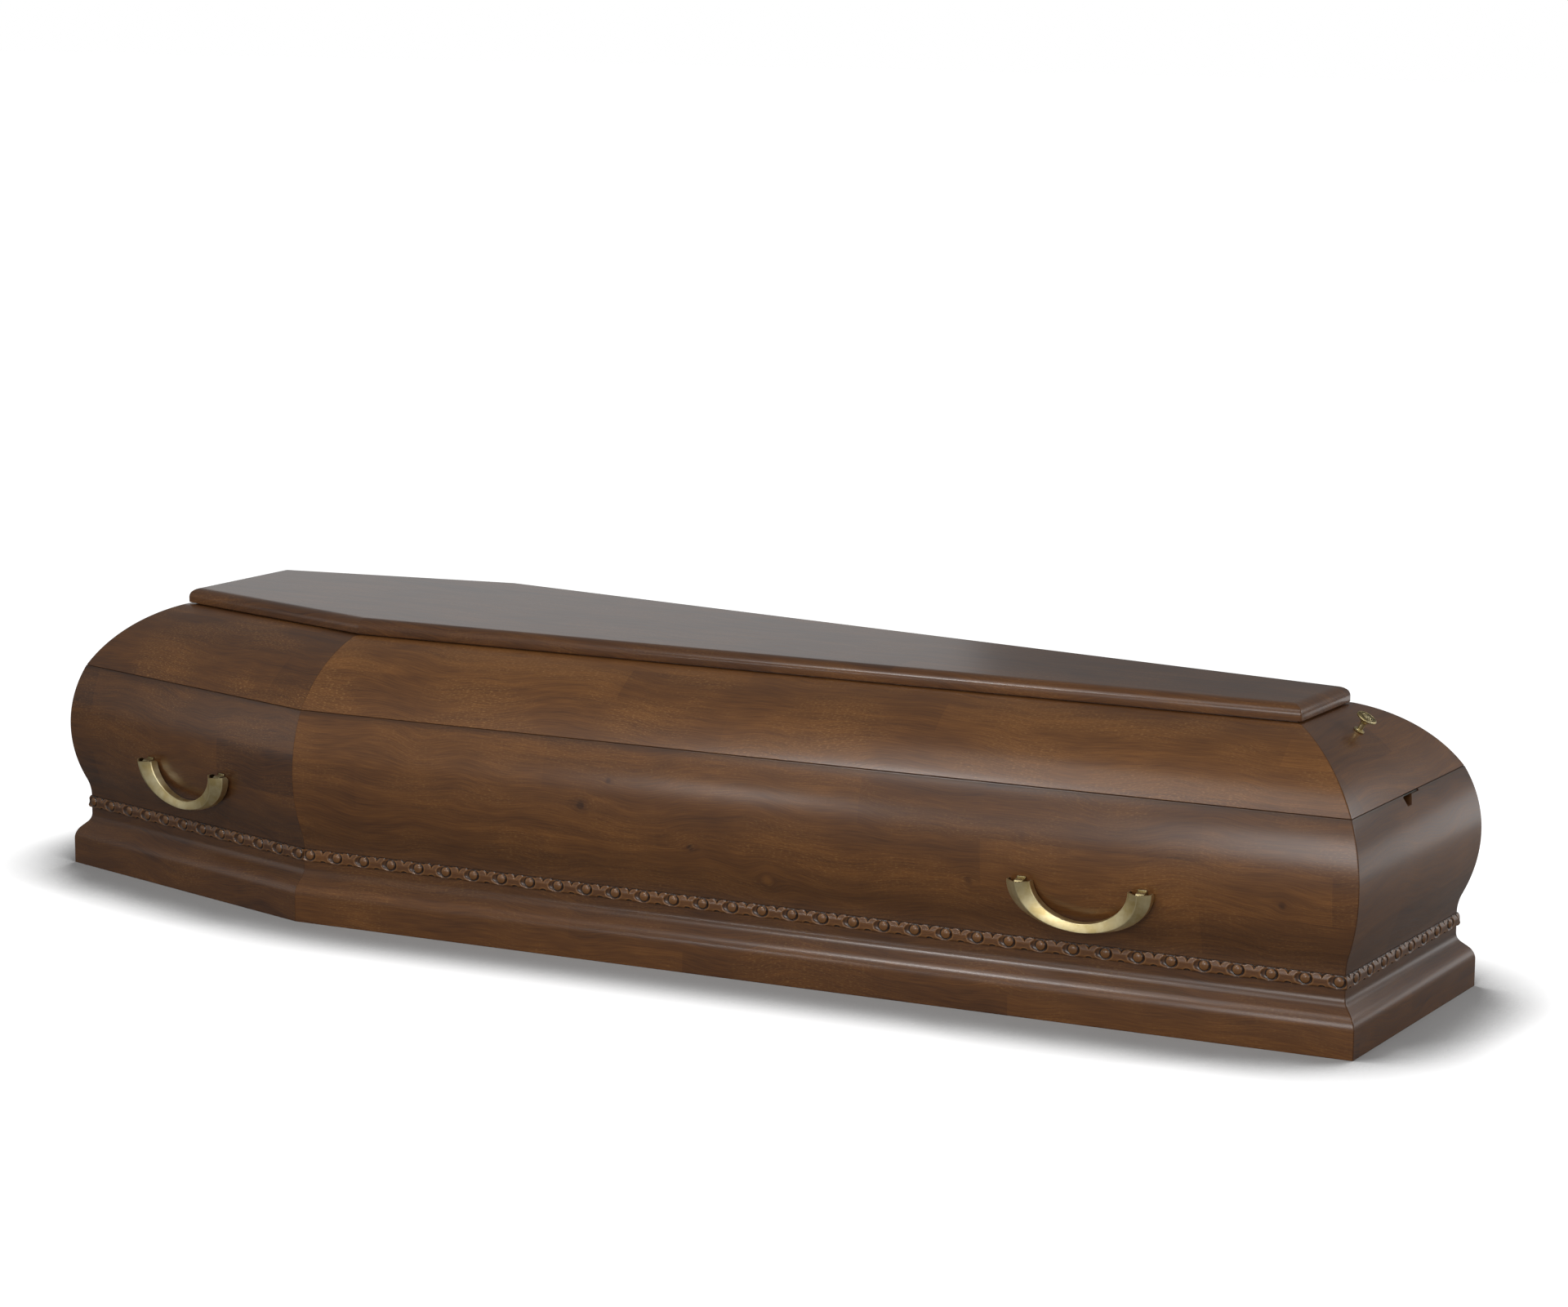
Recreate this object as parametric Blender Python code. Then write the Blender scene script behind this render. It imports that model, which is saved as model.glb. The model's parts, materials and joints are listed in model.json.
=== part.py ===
"""A six-sided wooden coffin: a bellied box on a moulded plinth, carved strips,
a hollow curved lid that lifts off, and four hinged bail handles.

Metres, +Z up. The origin is on the floor under the middle of the coffin, +X is
the foot end and -Y the left side, as seen from the foot end. Sizes are driving
values; what fits against another piece is worked out from the same values.
A profile is a list of (inset, height) points: inset is how far a point lies
inside the plinth's outer face, measured square to that face.
"""
import bpy
import bmesh
from math import asin, atan2, cos, pi, radians, sin, sqrt, tan
from mathutils import Matrix, Vector

# Clearance between pieces that touch
GAP = 0.0003

# Plan, measured over the plinth
LENGTH = 2.000
SHOULDER_FROM_HEAD = 0.4934
HEAD_WIDTH = 0.446
SHOULDER_WIDTH = 0.670
FOOT_WIDTH = 0.412

# Box walls: a straight foot behind the plinth, a neck, a cove and a belly
WALL_THICKNESS = 0.020
WALL_FOOT_INSET = 0.022
NECK_INSET = 0.0205
BELLY_HEIGHT = 0.206
BELLY_PROUD = 0.0013
COVE_SHARE = 0.2368
SPLIT_HEIGHT = 0.294
ARRIS = 0.0008
BOTTOM_THICKNESS = 0.018

# Plinth board: upright face, round, slope, hollow and a thin upright top
OGEE_START = 0.0357
OGEE_ROUND_RADIUS = 0.0248
OGEE_HOLLOW_RADIUS = 0.0176
OGEE_SLOPE = radians(47)

# Carved strip
STRIP_LOW = 0.0825
STRIP_HEIGHT = 0.0172
STRIP_FLOOR_INSET = 0.0202
STRIP_LEAF_INSET = 0.0170
STRIP_BEAD_INSET = 0.0162
STRIP_PITCH = 0.0433
STRIP_END_MARGIN = 0.0105
BEAD_RADIUS = 0.0068
BEAD_CROWN_RADIUS = 0.0040
BEAD_SIDES = 6
CUP_REACH = 0.0137
RING_REACH = 0.0102
LEAF_HORN = 0.0065
LEAF_EDGE = 0.0003
LEAF_NOTCH_WIDTH = 0.009
LEAF_NOTCH_DEPTH = 0.0062

# Lid walls and the board on them
LID_STEP = 0.0002
LID_HEIGHT = 0.087
LID_START_SLOPE = radians(31)
LID_END_SLOPE = radians(73.07)
LID_THICKNESS = 0.018
LID_TOP_WIDTH = 0.0346
BOARD_SIDE_SETBACK = 0.0071
BOARD_END_SETBACK = 0.0031
BOARD_THICKNESS = 0.0227
BOARD_REBATE_DEPTH = 0.002
BOARD_REBATE_WIDTH = 0.008
BOARD_LIP = 0.0075
BOARD_ROUND_WIDTH = 0.017

# Bail handles: an arch of metal that hangs on two lugs
HEAD_HANDLE_FROM_HEAD = 0.2706
FOOT_HANDLE_FROM_SHOULDER = 1.1573
HEAD_PIVOT_HEIGHT = 0.1755
FOOT_PIVOT_HEIGHT = 0.173
PIVOT_FROM_WALL = 0.0085
BAIL_TOP = 0.0075
BAIL_HALF_WIDTH = 0.0965
BAIL_DROP = 0.059
BAIL_INNER_HALF_WIDTH = 0.0645
BAIL_INNER_DROP = 0.048
BAIL_OUTER_POWER = 2.15
BAIL_INNER_POWER = 1.9
BAIL_BACK = 0.0055
BAIL_BACK_RIM = 0.0020
BAIL_FRONT_END = 0.0055
BAIL_FRONT_LOW = 0.0040
BAIL_RIDGE_END = 0.0165
BAIL_RIDGE_LOW = 0.0075
BAIL_RIDGE_POWER = 0.6
BAIL_SHELL = 0.0024
BAIL_LEAN = radians(3.3)
SOCKET_ANGLES = (0, 3, 9, 17)
ARCH_ANGLES = (27, 40, 55, 72)
PIN_RADIUS = 0.0025
PIN_CLEARANCE = 0.0003
PIN_SIDES = 8
PIN_BITE = 0.0012
LUG_WIDTH = 0.012
LUG_PLATE = 0.002
LUG_PLATE_DOWN = 0.010
LUG_PLATE_UP = 0.009
LUG_EYE_FRONT = 0.005
LUG_EYE_UP = 0.0072
LUG_EYE_DOWN = 0.0045
LUG_UPPER_CORNER = 0.003
LUG_LOWER_CORNER = 0.0018

# Closing screw, through the lid wall at each end
SCREW_INSET = 0.0895
SCREW_SHAFT_RADIUS = 0.0030
SCREW_TIP_RADIUS = 0.0018
SCREW_DEPTH = 0.014
SCREW_FLANGE_RADIUS = 0.0072
SCREW_FLANGE = 0.0020
SCREW_WAIST_RADIUS = 0.0032
SCREW_WAIST = 0.0030
SCREW_STEM_RADIUS = 0.0040
SCREW_STEM = 0.0155
SCREW_HEAD_RADIUS = 0.0135
SCREW_HEAD_LOW = 0.0185
SCREW_HEAD_TOP = 0.0222
SCREW_RIM = 0.0012
SCREW_DISH = 0.0007
SCREW_BOSS_RADIUS = 0.0040
SCREW_BOSS_TOP_RADIUS = 0.0024
SCREW_SIDES = 10

# Steel nut plate let into the rim at each end, with a recess in the wall below it
NUT_PLATE_WIDTH = 0.050
NUT_PLATE_THICKNESS = 0.0015
NUT_PLATE_DEPTH = 0.015
NUT_PLATE_SETBACK = 0.0015
NUT_PLATE_BELOW_SPLIT = 0.0013
RECESS_TOP = (-0.0265, 0.002)
RECESS_FOOT = (-0.0215, -0.0085)
RECESS_FALL = 0.0115
RECESS_DEPTH = 0.0115

SIDES = ("left_head", "left_foot", "foot_end", "right_foot", "right_head", "head_end")
ENDS = ("foot_end", "head_end")

# Sizes that follow from the ones above
STRIP_TOP = STRIP_LOW + STRIP_HEIGHT
STRIP_MIDDLE = STRIP_LOW + STRIP_HEIGHT / 2
NECK_TOP = STRIP_TOP + GAP
PLINTH_HEIGHT = STRIP_LOW - GAP
WALL_INNER_INSET = NECK_INSET + WALL_THICKNESS
BELLY_RISE = BELLY_HEIGHT - NECK_TOP
BELLY_STEP = NECK_INSET + BELLY_PROUD
RADII_SUM = (BELLY_STEP ** 2 + BELLY_RISE ** 2) / (2 * BELLY_STEP)
COVE_RADIUS = RADII_SUM * COVE_SHARE
BELLY_RADIUS = RADII_SUM - COVE_RADIUS
BELLY_CENTRE_INSET = BELLY_RADIUS - BELLY_PROUD
RIM_INSET = BELLY_CENTRE_INSET - sqrt(BELLY_RADIUS ** 2 - (SPLIT_HEIGHT - BELLY_HEIGHT) ** 2)
LID_TOP = SPLIT_HEIGHT + LID_HEIGHT
LID_RADIUS = LID_HEIGHT / (sin(LID_END_SLOPE) - sin(LID_START_SLOPE))
LID_CENTRE_INSET = RIM_INSET + LID_STEP + LID_RADIUS * cos(LID_START_SLOPE)
LID_CENTRE_HEIGHT = SPLIT_HEIGHT - LID_RADIUS * sin(LID_START_SLOPE)
LID_TOP_INSET = LID_CENTRE_INSET - LID_RADIUS * cos(LID_END_SLOPE)


def material(name, colour, roughness, metallic):
    made = bpy.data.materials.new(name)
    made.use_nodes = True
    shader = made.node_tree.nodes["Principled BSDF"]
    shader.inputs["Base Color"].default_value = (*colour, 1)
    shader.inputs["Roughness"].default_value = roughness
    shader.inputs["Metallic"].default_value = metallic
    made.diffuse_color = (*colour, 1)
    return made


def add_object(name, bm, finish):
    """Puts a bmesh in the scene as one named object, its faces pointing out."""
    bmesh.ops.recalc_face_normals(bm, faces=bm.faces[:])
    mesh = bpy.data.meshes.new(name)
    bm.to_mesh(mesh)
    bm.free()
    mesh.materials.append(material(name, *finish))
    thing = bpy.data.objects.new(name, mesh)
    bpy.context.collection.objects.link(thing)
    return thing


def skin(rings):
    """A closed body through rings of as many points each, with flat end caps."""
    bm = bmesh.new()
    loops = [[bm.verts.new(point) for point in ring] for ring in rings]
    count = len(loops[0])
    for low, high in zip(loops, loops[1:]):
        for i in range(count):
            j = (i + 1) % count
            bm.faces.new((low[i], low[j], high[j], high[i]))
    bm.faces.new(loops[0])
    bm.faces.new(loops[-1])
    return bm


def combine(piece, bm, name, operation, place=Matrix()):
    """Cuts the shape in bm out of a piece, or fuses it on, with a hidden helper."""
    helper = add_object(name, bm, WOOD)
    helper.hide_render = True
    helper.display_type = "WIRE"
    helper.matrix_world = place
    modifier = piece.modifiers.new(name, "BOOLEAN")
    modifier.operation = operation
    modifier.object = helper


# The plan

def plan_corners():
    """The plinth's outer corners, anticlockwise from the left of the head end."""
    head = -LENGTH / 2
    stations = ((head, HEAD_WIDTH), (head + SHOULDER_FROM_HEAD, SHOULDER_WIDTH),
                (head + LENGTH, FOOT_WIDTH))
    left = [Vector((x, -width / 2)) for x, width in stations]
    right = [Vector((x, width / 2)) for x, width in reversed(stations)]
    return left + right


CORNERS = plan_corners()


def along(side):
    return (CORNERS[(side + 1) % 6] - CORNERS[side % 6]).normalized()


def outward(side):
    run = along(side)
    return Vector((run.y, -run.x))


def side_length(side):
    return (CORNERS[(side + 1) % 6] - CORNERS[side % 6]).length


def corner(index, inset_before, inset_after):
    """Where the two faces at a corner cross, each moved in by its own inset."""
    before, after = outward(index - 1), outward(index)
    det = before.x * after.y - before.y * after.x
    step = Vector(((inset_after * before.y - inset_before * after.y) / det,
                   (inset_before * after.x - inset_after * before.x) / det))
    return CORNERS[index % 6] + step


def mitre_slack(index):
    """How much a piece stops short along its side, for half a gap square to the mitre."""
    turn = along(index - 1).angle(along(index))
    return GAP / 2 / cos(turn / 2)


def mitred_ends(side, inset):
    """The two ends of a line that runs along a side at an inset, mitre to mitre."""
    start = corner(side, inset, inset) + along(side) * mitre_slack(side)
    end = corner(side + 1, inset, inset) - along(side) * mitre_slack(side + 1)
    return start, end


def mitred_board(side, profile):
    """A profile carried along one side and mitred at both corners."""
    rings = ([], [])
    for inset, height in profile:
        for ring, end in zip(rings, mitred_ends(side, inset)):
            ring.append((end.x, end.y, height))
    return skin(rings)


def hexagon(side_inset, end_inset, height):
    """A ring of the plan's six corners, with one inset on the sides and one at the ends."""
    insets = [end_inset if name in ENDS else side_inset for name in SIDES]
    points = [corner(i, insets[i - 1], insets[i]) for i in range(6)]
    return [(point.x, point.y, height) for point in points]


# Profiles

def arc(centre, radius, start, end, steps, inwards=1):
    """Points on an arc. An angle is the slope off upright, and the arc lies on the
    outer side of its centre, or on the inner side where inwards is -1."""
    points = []
    for i in range(steps + 1):
        angle = start + (end - start) * i / steps
        points.append((centre[0] - inwards * radius * cos(angle),
                       centre[1] + inwards * radius * sin(angle)))
    return points


def slope_at(centre_height, radius, height):
    """The slope off upright of an arc where it passes a height."""
    return asin((height - centre_height) / radius)


def wall_curve(depth, rim_height, cove_steps, belly_steps):
    """The box wall's cove and belly, moved in square to the face by depth. The cove
    runs from the upright neck into the belly with no break, so the slope where they
    meet is that of the line between their centres."""
    cove_centre = (NECK_INSET - COVE_RADIUS, NECK_TOP)
    meeting = atan2(BELLY_RISE, BELLY_CENTRE_INSET - cove_centre[0])
    rim = slope_at(BELLY_HEIGHT, BELLY_RADIUS - depth, rim_height)
    hollow = arc(cove_centre, COVE_RADIUS + depth, 0, -meeting, cove_steps, -1)
    belly = arc((BELLY_CENTRE_INSET, BELLY_HEIGHT), BELLY_RADIUS - depth, -meeting, rim, belly_steps)
    return hollow + belly[1:]


def wall_profile():
    rim = SPLIT_HEIGHT - GAP
    outer = wall_curve(0, rim - ARRIS, 3, 9)
    rim_edge = (outer[-1][0] + ARRIS, rim)
    inner = wall_curve(WALL_THICKNESS, rim, 2, 6)
    foot = [(WALL_FOOT_INSET, 0), (WALL_FOOT_INSET, NECK_TOP)]
    return foot + outer + [rim_edge] + inner[::-1] + [(WALL_INNER_INSET, 0)]


def wall_face_at(height):
    """Inset and slope of the belly's outer face at a height."""
    slope = slope_at(BELLY_HEIGHT, BELLY_RADIUS, height)
    return BELLY_CENTRE_INSET - BELLY_RADIUS * cos(slope), slope


def plinth_profile():
    back = WALL_FOOT_INSET - GAP
    round_part = arc((OGEE_ROUND_RADIUS, OGEE_START), OGEE_ROUND_RADIUS, 0, OGEE_SLOPE, 4)
    rounds = OGEE_ROUND_RADIUS + OGEE_HOLLOW_RADIUS
    straight = (NECK_INSET - rounds * (1 - cos(OGEE_SLOPE))) / tan(OGEE_SLOPE)
    hollow_top = OGEE_START + rounds * sin(OGEE_SLOPE) + straight
    hollow_centre = (NECK_INSET - OGEE_HOLLOW_RADIUS, hollow_top)
    hollow = arc(hollow_centre, OGEE_HOLLOW_RADIUS, OGEE_SLOPE, 0, 3, -1)
    return [(0, 0)] + round_part + hollow + [(NECK_INSET, PLINTH_HEIGHT), (back, PLINTH_HEIGHT), (back, 0)]


def lid_height_at(inset, depth=0):
    """Height of the lid wall's curve at an inset, moved in square to it by depth."""
    across = LID_CENTRE_INSET - inset
    return LID_CENTRE_HEIGHT + sqrt((LID_RADIUS - depth) ** 2 - across ** 2)


def lid_profile():
    centre = (LID_CENTRE_INSET, LID_CENTRE_HEIGHT)
    low = slope_at(centre[1], LID_RADIUS, SPLIT_HEIGHT + ARRIS)
    outer = arc(centre, LID_RADIUS, low, LID_END_SLOPE, 10)
    inner_radius = LID_RADIUS - LID_THICKNESS
    inner_low = slope_at(centre[1], inner_radius, SPLIT_HEIGHT)
    top_inner_inset = LID_TOP_INSET + LID_TOP_WIDTH
    inner_end = lid_height_at(top_inner_inset, LID_THICKNESS)
    inner = arc(centre, inner_radius, slope_at(centre[1], inner_radius, inner_end), inner_low, 7)
    rim_edge = (outer[0][0] + ARRIS, SPLIT_HEIGHT)
    return [rim_edge] + outer + [(top_inner_inset, LID_TOP)] + inner


# Wooden pieces

def bottom_board():
    inset = WALL_INNER_INSET + GAP
    return skin([hexagon(inset, inset, height) for height in (0, BOTTOM_THICKNESS)])


def lid_board():
    """The board on the lid: rebated below, a short upright lip, a rounded edge."""
    seat = LID_TOP + GAP
    lip_low = seat + BOARD_REBATE_DEPTH
    lip_high = lip_low + BOARD_LIP
    top = seat + BOARD_THICKNESS
    levels = [(BOARD_REBATE_WIDTH, seat), (BOARD_REBATE_WIDTH, lip_low), (ARRIS, lip_low),
              (0, lip_low + ARRIS)]
    steps = 5
    for i in range(steps + 1):
        angle = pi / 2 * i / steps
        levels.append((BOARD_ROUND_WIDTH * (1 - cos(angle)),
                       lip_high + (top - lip_high) * sin(angle)))
    side_inset = LID_TOP_INSET + BOARD_SIDE_SETBACK
    end_inset = LID_TOP_INSET + BOARD_END_SETBACK
    return skin([hexagon(side_inset + inset, end_inset + inset, height) for inset, height in levels])


# Carved strip

def leaf_outline():
    """The slab between two beads, about its middle: two lobes that part at a notch
    in the upper edge, between the ring of one bead and the cup of the next."""
    left = STRIP_PITCH / 2 - RING_REACH
    right = STRIP_PITCH / 2 - CUP_REACH
    up = STRIP_HEIGHT / 2 - LEAF_EDGE
    return [(-left, up), (-LEAF_NOTCH_WIDTH / 2, up), (0, up - LEAF_NOTCH_DEPTH), (LEAF_NOTCH_WIDTH / 2, up),
            (right + LEAF_HORN / 2, up), (right, -up / 2), (-left, -up)]


def bead_outline(radius):
    turns = [2 * pi * (i + 0.5) / BEAD_SIDES for i in range(BEAD_SIDES)]
    return [(radius * cos(turn), radius * sin(turn)) for turn in turns]


def carved_strip(side):
    """A thin bar with beads and leaf slabs raised from its front. A side starts and
    ends with a bead, and an end starts and ends with a leaf."""
    bm = bmesh.new()
    run, out = along(side), outward(side)
    start, end = mitred_ends(side, STRIP_LEAF_INSET)
    face_length = (end - start).length
    count = round((face_length - 2 * STRIP_END_MARGIN) / STRIP_PITCH)
    pitch = (face_length - 2 * STRIP_END_MARGIN) / count
    floor_start, floor_end = mitred_ends(side, STRIP_FLOOR_INSET)
    low_limit = (floor_start - start).dot(run) + LEAF_EDGE
    high_limit = (floor_end - start).dot(run) - LEAF_EDGE

    def point(x, inset, height):
        place = start + run * x + out * (STRIP_LEAF_INSET - inset)
        return bm.verts.new((place.x, place.y, STRIP_MIDDLE + height))

    def ring(outline, centre, inset):
        return [point(min(max(centre + x, low_limit), high_limit), inset, height)
                for x, height in outline]

    def loop_edges(verts):
        return [bm.edges.new((verts[i - 1], verts[i])) for i in range(len(verts))]

    def wall(low, high):
        for i in range(len(low)):
            bm.faces.new((low[i - 1], low[i], high[i], high[i - 1]))

    def box_ring(inset):
        ends = [(end_point - start).dot(run) for end_point in mitred_ends(side, inset)]
        half = STRIP_HEIGHT / 2
        return [point(ends[0], inset, -half), point(ends[1], inset, -half),
                point(ends[1], inset, half), point(ends[0], inset, half)]

    floor, back = box_ring(STRIP_FLOOR_INSET), box_ring(WALL_FOOT_INSET - GAP)
    floor_edges = loop_edges(floor)
    wall(floor, back)
    bm.faces.new(back)
    leaf_first = SIDES[side] in ENDS
    for k in range(2 * count + 1):
        centre = STRIP_END_MARGIN + pitch * k / 2
        if (k % 2 == 0) == leaf_first:
            low = ring(leaf_outline(), centre, STRIP_FLOOR_INSET)
            high = ring(leaf_outline(), centre, STRIP_LEAF_INSET)
        else:
            low = ring(bead_outline(BEAD_RADIUS), centre, STRIP_FLOOR_INSET)
            high = ring(bead_outline(BEAD_CROWN_RADIUS), centre, STRIP_BEAD_INSET)
        floor_edges += loop_edges(low)
        wall(low, high)
        bm.faces.new(high)
    bmesh.ops.triangle_fill(bm, use_beauty=True, edges=floor_edges)
    return bm


# Handles

def bail_section(angle, shell=0):
    """Five points across the bail at an angle round its arch: back and front of the
    outer edge, the ridge, front and back of the inner edge. shell moves them in."""
    turn = radians(angle)
    low = abs(sin(turn))
    side = -cos(turn)

    def edge(half_width, drop, power):
        return Vector((half_width * abs(side) ** (2 / power) * (1 if side > 0 else -1),
                       BAIL_TOP - drop * low ** (2 / power)))

    outer = edge(BAIL_HALF_WIDTH, BAIL_DROP, BAIL_OUTER_POWER)
    inner = edge(BAIL_INNER_HALF_WIDTH, BAIL_INNER_DROP, BAIL_INNER_POWER)
    width = (inner - outer).length
    ridge_share = (1 - low ** 2) ** BAIL_RIDGE_POWER / 2
    front = BAIL_FRONT_END + (BAIL_FRONT_LOW - BAIL_FRONT_END) * low
    ridge = BAIL_RIDGE_END + (BAIL_RIDGE_LOW - BAIL_RIDGE_END) * low
    back = BAIL_BACK_RIM if angle in (0, 180) else BAIL_BACK
    places = ((shell / width, back), (shell / width, shell - front),
              (ridge_share, shell - ridge), (1 - shell / width, shell - front),
              (1 - shell / width, back))
    points = []
    for share, depth in places:
        across = outer + (inner - outer) * share
        points.append((across.x, depth, across.y))
    return points


def bail_mesh():
    """The arch: solid metal between two ends that are open above and behind."""
    solid = [*ARCH_ANGLES, 90, *(180 - a for a in reversed(ARCH_ANGLES))]
    bm = bmesh.new()

    def verts(points):
        return [bm.verts.new(point) for point in points]

    def socket(angles):
        """An open channel from the top rim down to the socket's floor."""
        outside = [verts(bail_section(angle)) for angle in angles]
        inside = [verts(bail_section(angle, BAIL_SHELL)) for angle in angles]
        for k in range(len(angles) - 1):
            for i in range(4):
                bm.faces.new((outside[k][i], outside[k][i + 1], outside[k + 1][i + 1], outside[k + 1][i]))
                bm.faces.new((inside[k][i], inside[k][i + 1], inside[k + 1][i + 1], inside[k + 1][i]))
            for i in (0, 4):
                bm.faces.new((outside[k][i], inside[k][i], inside[k + 1][i], outside[k + 1][i]))
        for i in range(4):
            bm.faces.new((outside[0][i], outside[0][i + 1], inside[0][i + 1], inside[0][i]))
        bm.faces.new(inside[-1])
        return outside[-1], inside[-1]

    first, first_floor = socket(SOCKET_ANGLES)
    last, last_floor = socket([180 - angle for angle in SOCKET_ANGLES])
    loops = [first] + [verts(bail_section(angle)) for angle in solid] + [last]
    for k in range(len(loops) - 1):
        low, high = loops[k], loops[k + 1]
        for i in range(4):
            bm.faces.new((low[i], low[i + 1], high[i + 1], high[i]))
    for k in range(1, len(loops) - 2):
        low, high = loops[k], loops[k + 1]
        bm.faces.new((low[4], low[0], high[0], high[4]))
    bm.faces.new((first[4], first_floor[4], first_floor[0], first[0], loops[1][0], loops[1][4]))
    bm.faces.new((last[4], last_floor[4], last_floor[0], last[0], loops[-2][0], loops[-2][4]))
    return bm


def cylinder(radius, start, end, sides):
    """A round bar along X between two places, on the line y = z = 0."""
    turns = [2 * pi * i / sides for i in range(sides)]
    return skin([[(x, radius * cos(turn), radius * sin(turn)) for turn in turns] for x in (start, end)])


def lug_mesh(centre):
    """A foot plate on the wall with an eye for the bail's pin, extruded across."""
    foot = PIVOT_FROM_WALL - GAP
    face = foot - LUG_PLATE
    front = -LUG_EYE_FRONT
    outline = [(foot, -LUG_PLATE_DOWN), (face, -LUG_PLATE_DOWN), (face, -LUG_EYE_DOWN),
               (front + LUG_LOWER_CORNER, -LUG_EYE_DOWN), (front, LUG_LOWER_CORNER - LUG_EYE_DOWN),
               (front, LUG_EYE_UP - LUG_UPPER_CORNER), (front + LUG_UPPER_CORNER, LUG_EYE_UP),
               (face, LUG_EYE_UP), (face, LUG_PLATE_UP), (foot, LUG_PLATE_UP)]
    half = LUG_WIDTH / 2
    return skin([[(centre + x, y, z) for y, z in outline] for x in (-half, half)])


def handle_frame(side, distance, height, lean):
    """A frame on the hinge line: X along the side, -Y out of the wall, Z up, leant."""
    inset, _ = wall_face_at(height)
    run, out = along(side), outward(side)
    place = CORNERS[side] + run * distance + out * (PIVOT_FROM_WALL - inset)
    axes = Matrix(((run.x, -out.x, 0), (run.y, -out.y, 0), (0, 0, 1))).to_4x4()
    return Matrix.Translation((place.x, place.y, height)) @ axes @ Matrix.Rotation(lean, 4, "X")


def add_handle(side, distance, height):
    name = SIDES[side]
    _, wall_slope = wall_face_at(height)
    bail_frame = handle_frame(side, distance, height, BAIL_LEAN)
    lug_frame = handle_frame(side, distance, height, -wall_slope)
    bail = add_object("handle_" + name, bail_mesh(), BRASS)
    bail.matrix_world = bail_frame
    middle = (BAIL_HALF_WIDTH + BAIL_INNER_HALF_WIDTH) / 2
    half_pin = (BAIL_HALF_WIDTH - BAIL_INNER_HALF_WIDTH) / 2 - PIN_BITE
    for end, way in (("a", -1), ("b", 1)):
        centre = way * middle
        pin = cylinder(PIN_RADIUS, centre - half_pin, centre + half_pin, PIN_SIDES)
        combine(bail, pin, f"pin_{name}_{end}", "UNION", bail_frame)
        lug = add_object(f"lug_{name}_{end}", lug_mesh(centre), BRASS)
        lug.matrix_world = lug_frame
        bore = cylinder(PIN_RADIUS + PIN_CLEARANCE, centre - LUG_WIDTH, centre + LUG_WIDTH, PIN_SIDES)
        combine(lug, bore, f"bore_{name}_{end}", "DIFFERENCE", lug_frame)


# Closing screws and nut plates

def turned(profile, sides):
    """A profile of (radius, height) points turned about Z, closed at both poles."""
    turns = [2 * pi * i / sides for i in range(sides)]
    return skin([[(radius * cos(turn), radius * sin(turn), height) for turn in turns]
                 for radius, height in profile])


def screw_mesh():
    """Shaft, flange on the wood, stem, and a dished head with a raised rim and boss."""
    profile = [(SCREW_TIP_RADIUS, -SCREW_DEPTH), (SCREW_SHAFT_RADIUS, SCREW_TIP_RADIUS - SCREW_DEPTH),
               (SCREW_SHAFT_RADIUS, GAP), (SCREW_FLANGE_RADIUS, GAP),
               (SCREW_FLANGE_RADIUS, SCREW_FLANGE), (SCREW_WAIST_RADIUS, SCREW_WAIST),
               (SCREW_STEM_RADIUS, SCREW_STEM), (SCREW_HEAD_RADIUS - SCREW_RIM, SCREW_HEAD_LOW),
               (SCREW_HEAD_RADIUS, SCREW_HEAD_LOW + SCREW_RIM), (SCREW_HEAD_RADIUS - SCREW_RIM / 2, SCREW_HEAD_TOP),
               (SCREW_HEAD_RADIUS - 2 * SCREW_RIM, SCREW_HEAD_TOP - SCREW_DISH),
               (SCREW_BOSS_RADIUS, SCREW_HEAD_TOP - SCREW_DISH), (SCREW_BOSS_TOP_RADIUS, SCREW_HEAD_TOP)]
    return turned(profile, SCREW_SIDES)


def screw_frame(side):
    """A frame on the lid wall in the middle of an end, its Z square to the wood."""
    height = lid_height_at(SCREW_INSET)
    slope = slope_at(LID_CENTRE_HEIGHT, LID_RADIUS, height)
    out = outward(side)
    middle = CORNERS[side] + along(side) * side_length(side) / 2 - out * SCREW_INSET
    axis = Vector((out.x * cos(slope), out.y * cos(slope), sin(slope)))
    turn = axis.to_track_quat("Z", "Y").to_matrix().to_4x4()
    return Matrix.Translation((middle.x, middle.y, height)) @ turn


def end_block(side, outline, inset_front, inset_back):
    """An outline of (across, height) points carried inwards square to an end face."""
    out, run = outward(side), along(side)
    middle = CORNERS[side] + run * side_length(side) / 2
    rings = []
    for inset in (inset_front, inset_back):
        ring = [middle + run * across - out * inset for across, _ in outline]
        rings.append([(place.x, place.y, height) for place, (_, height) in zip(ring, outline)])
    return skin(rings)


def rectangle(half_width, low, high):
    return [(-half_width, low), (half_width, low), (half_width, high), (-half_width, high)]


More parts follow.
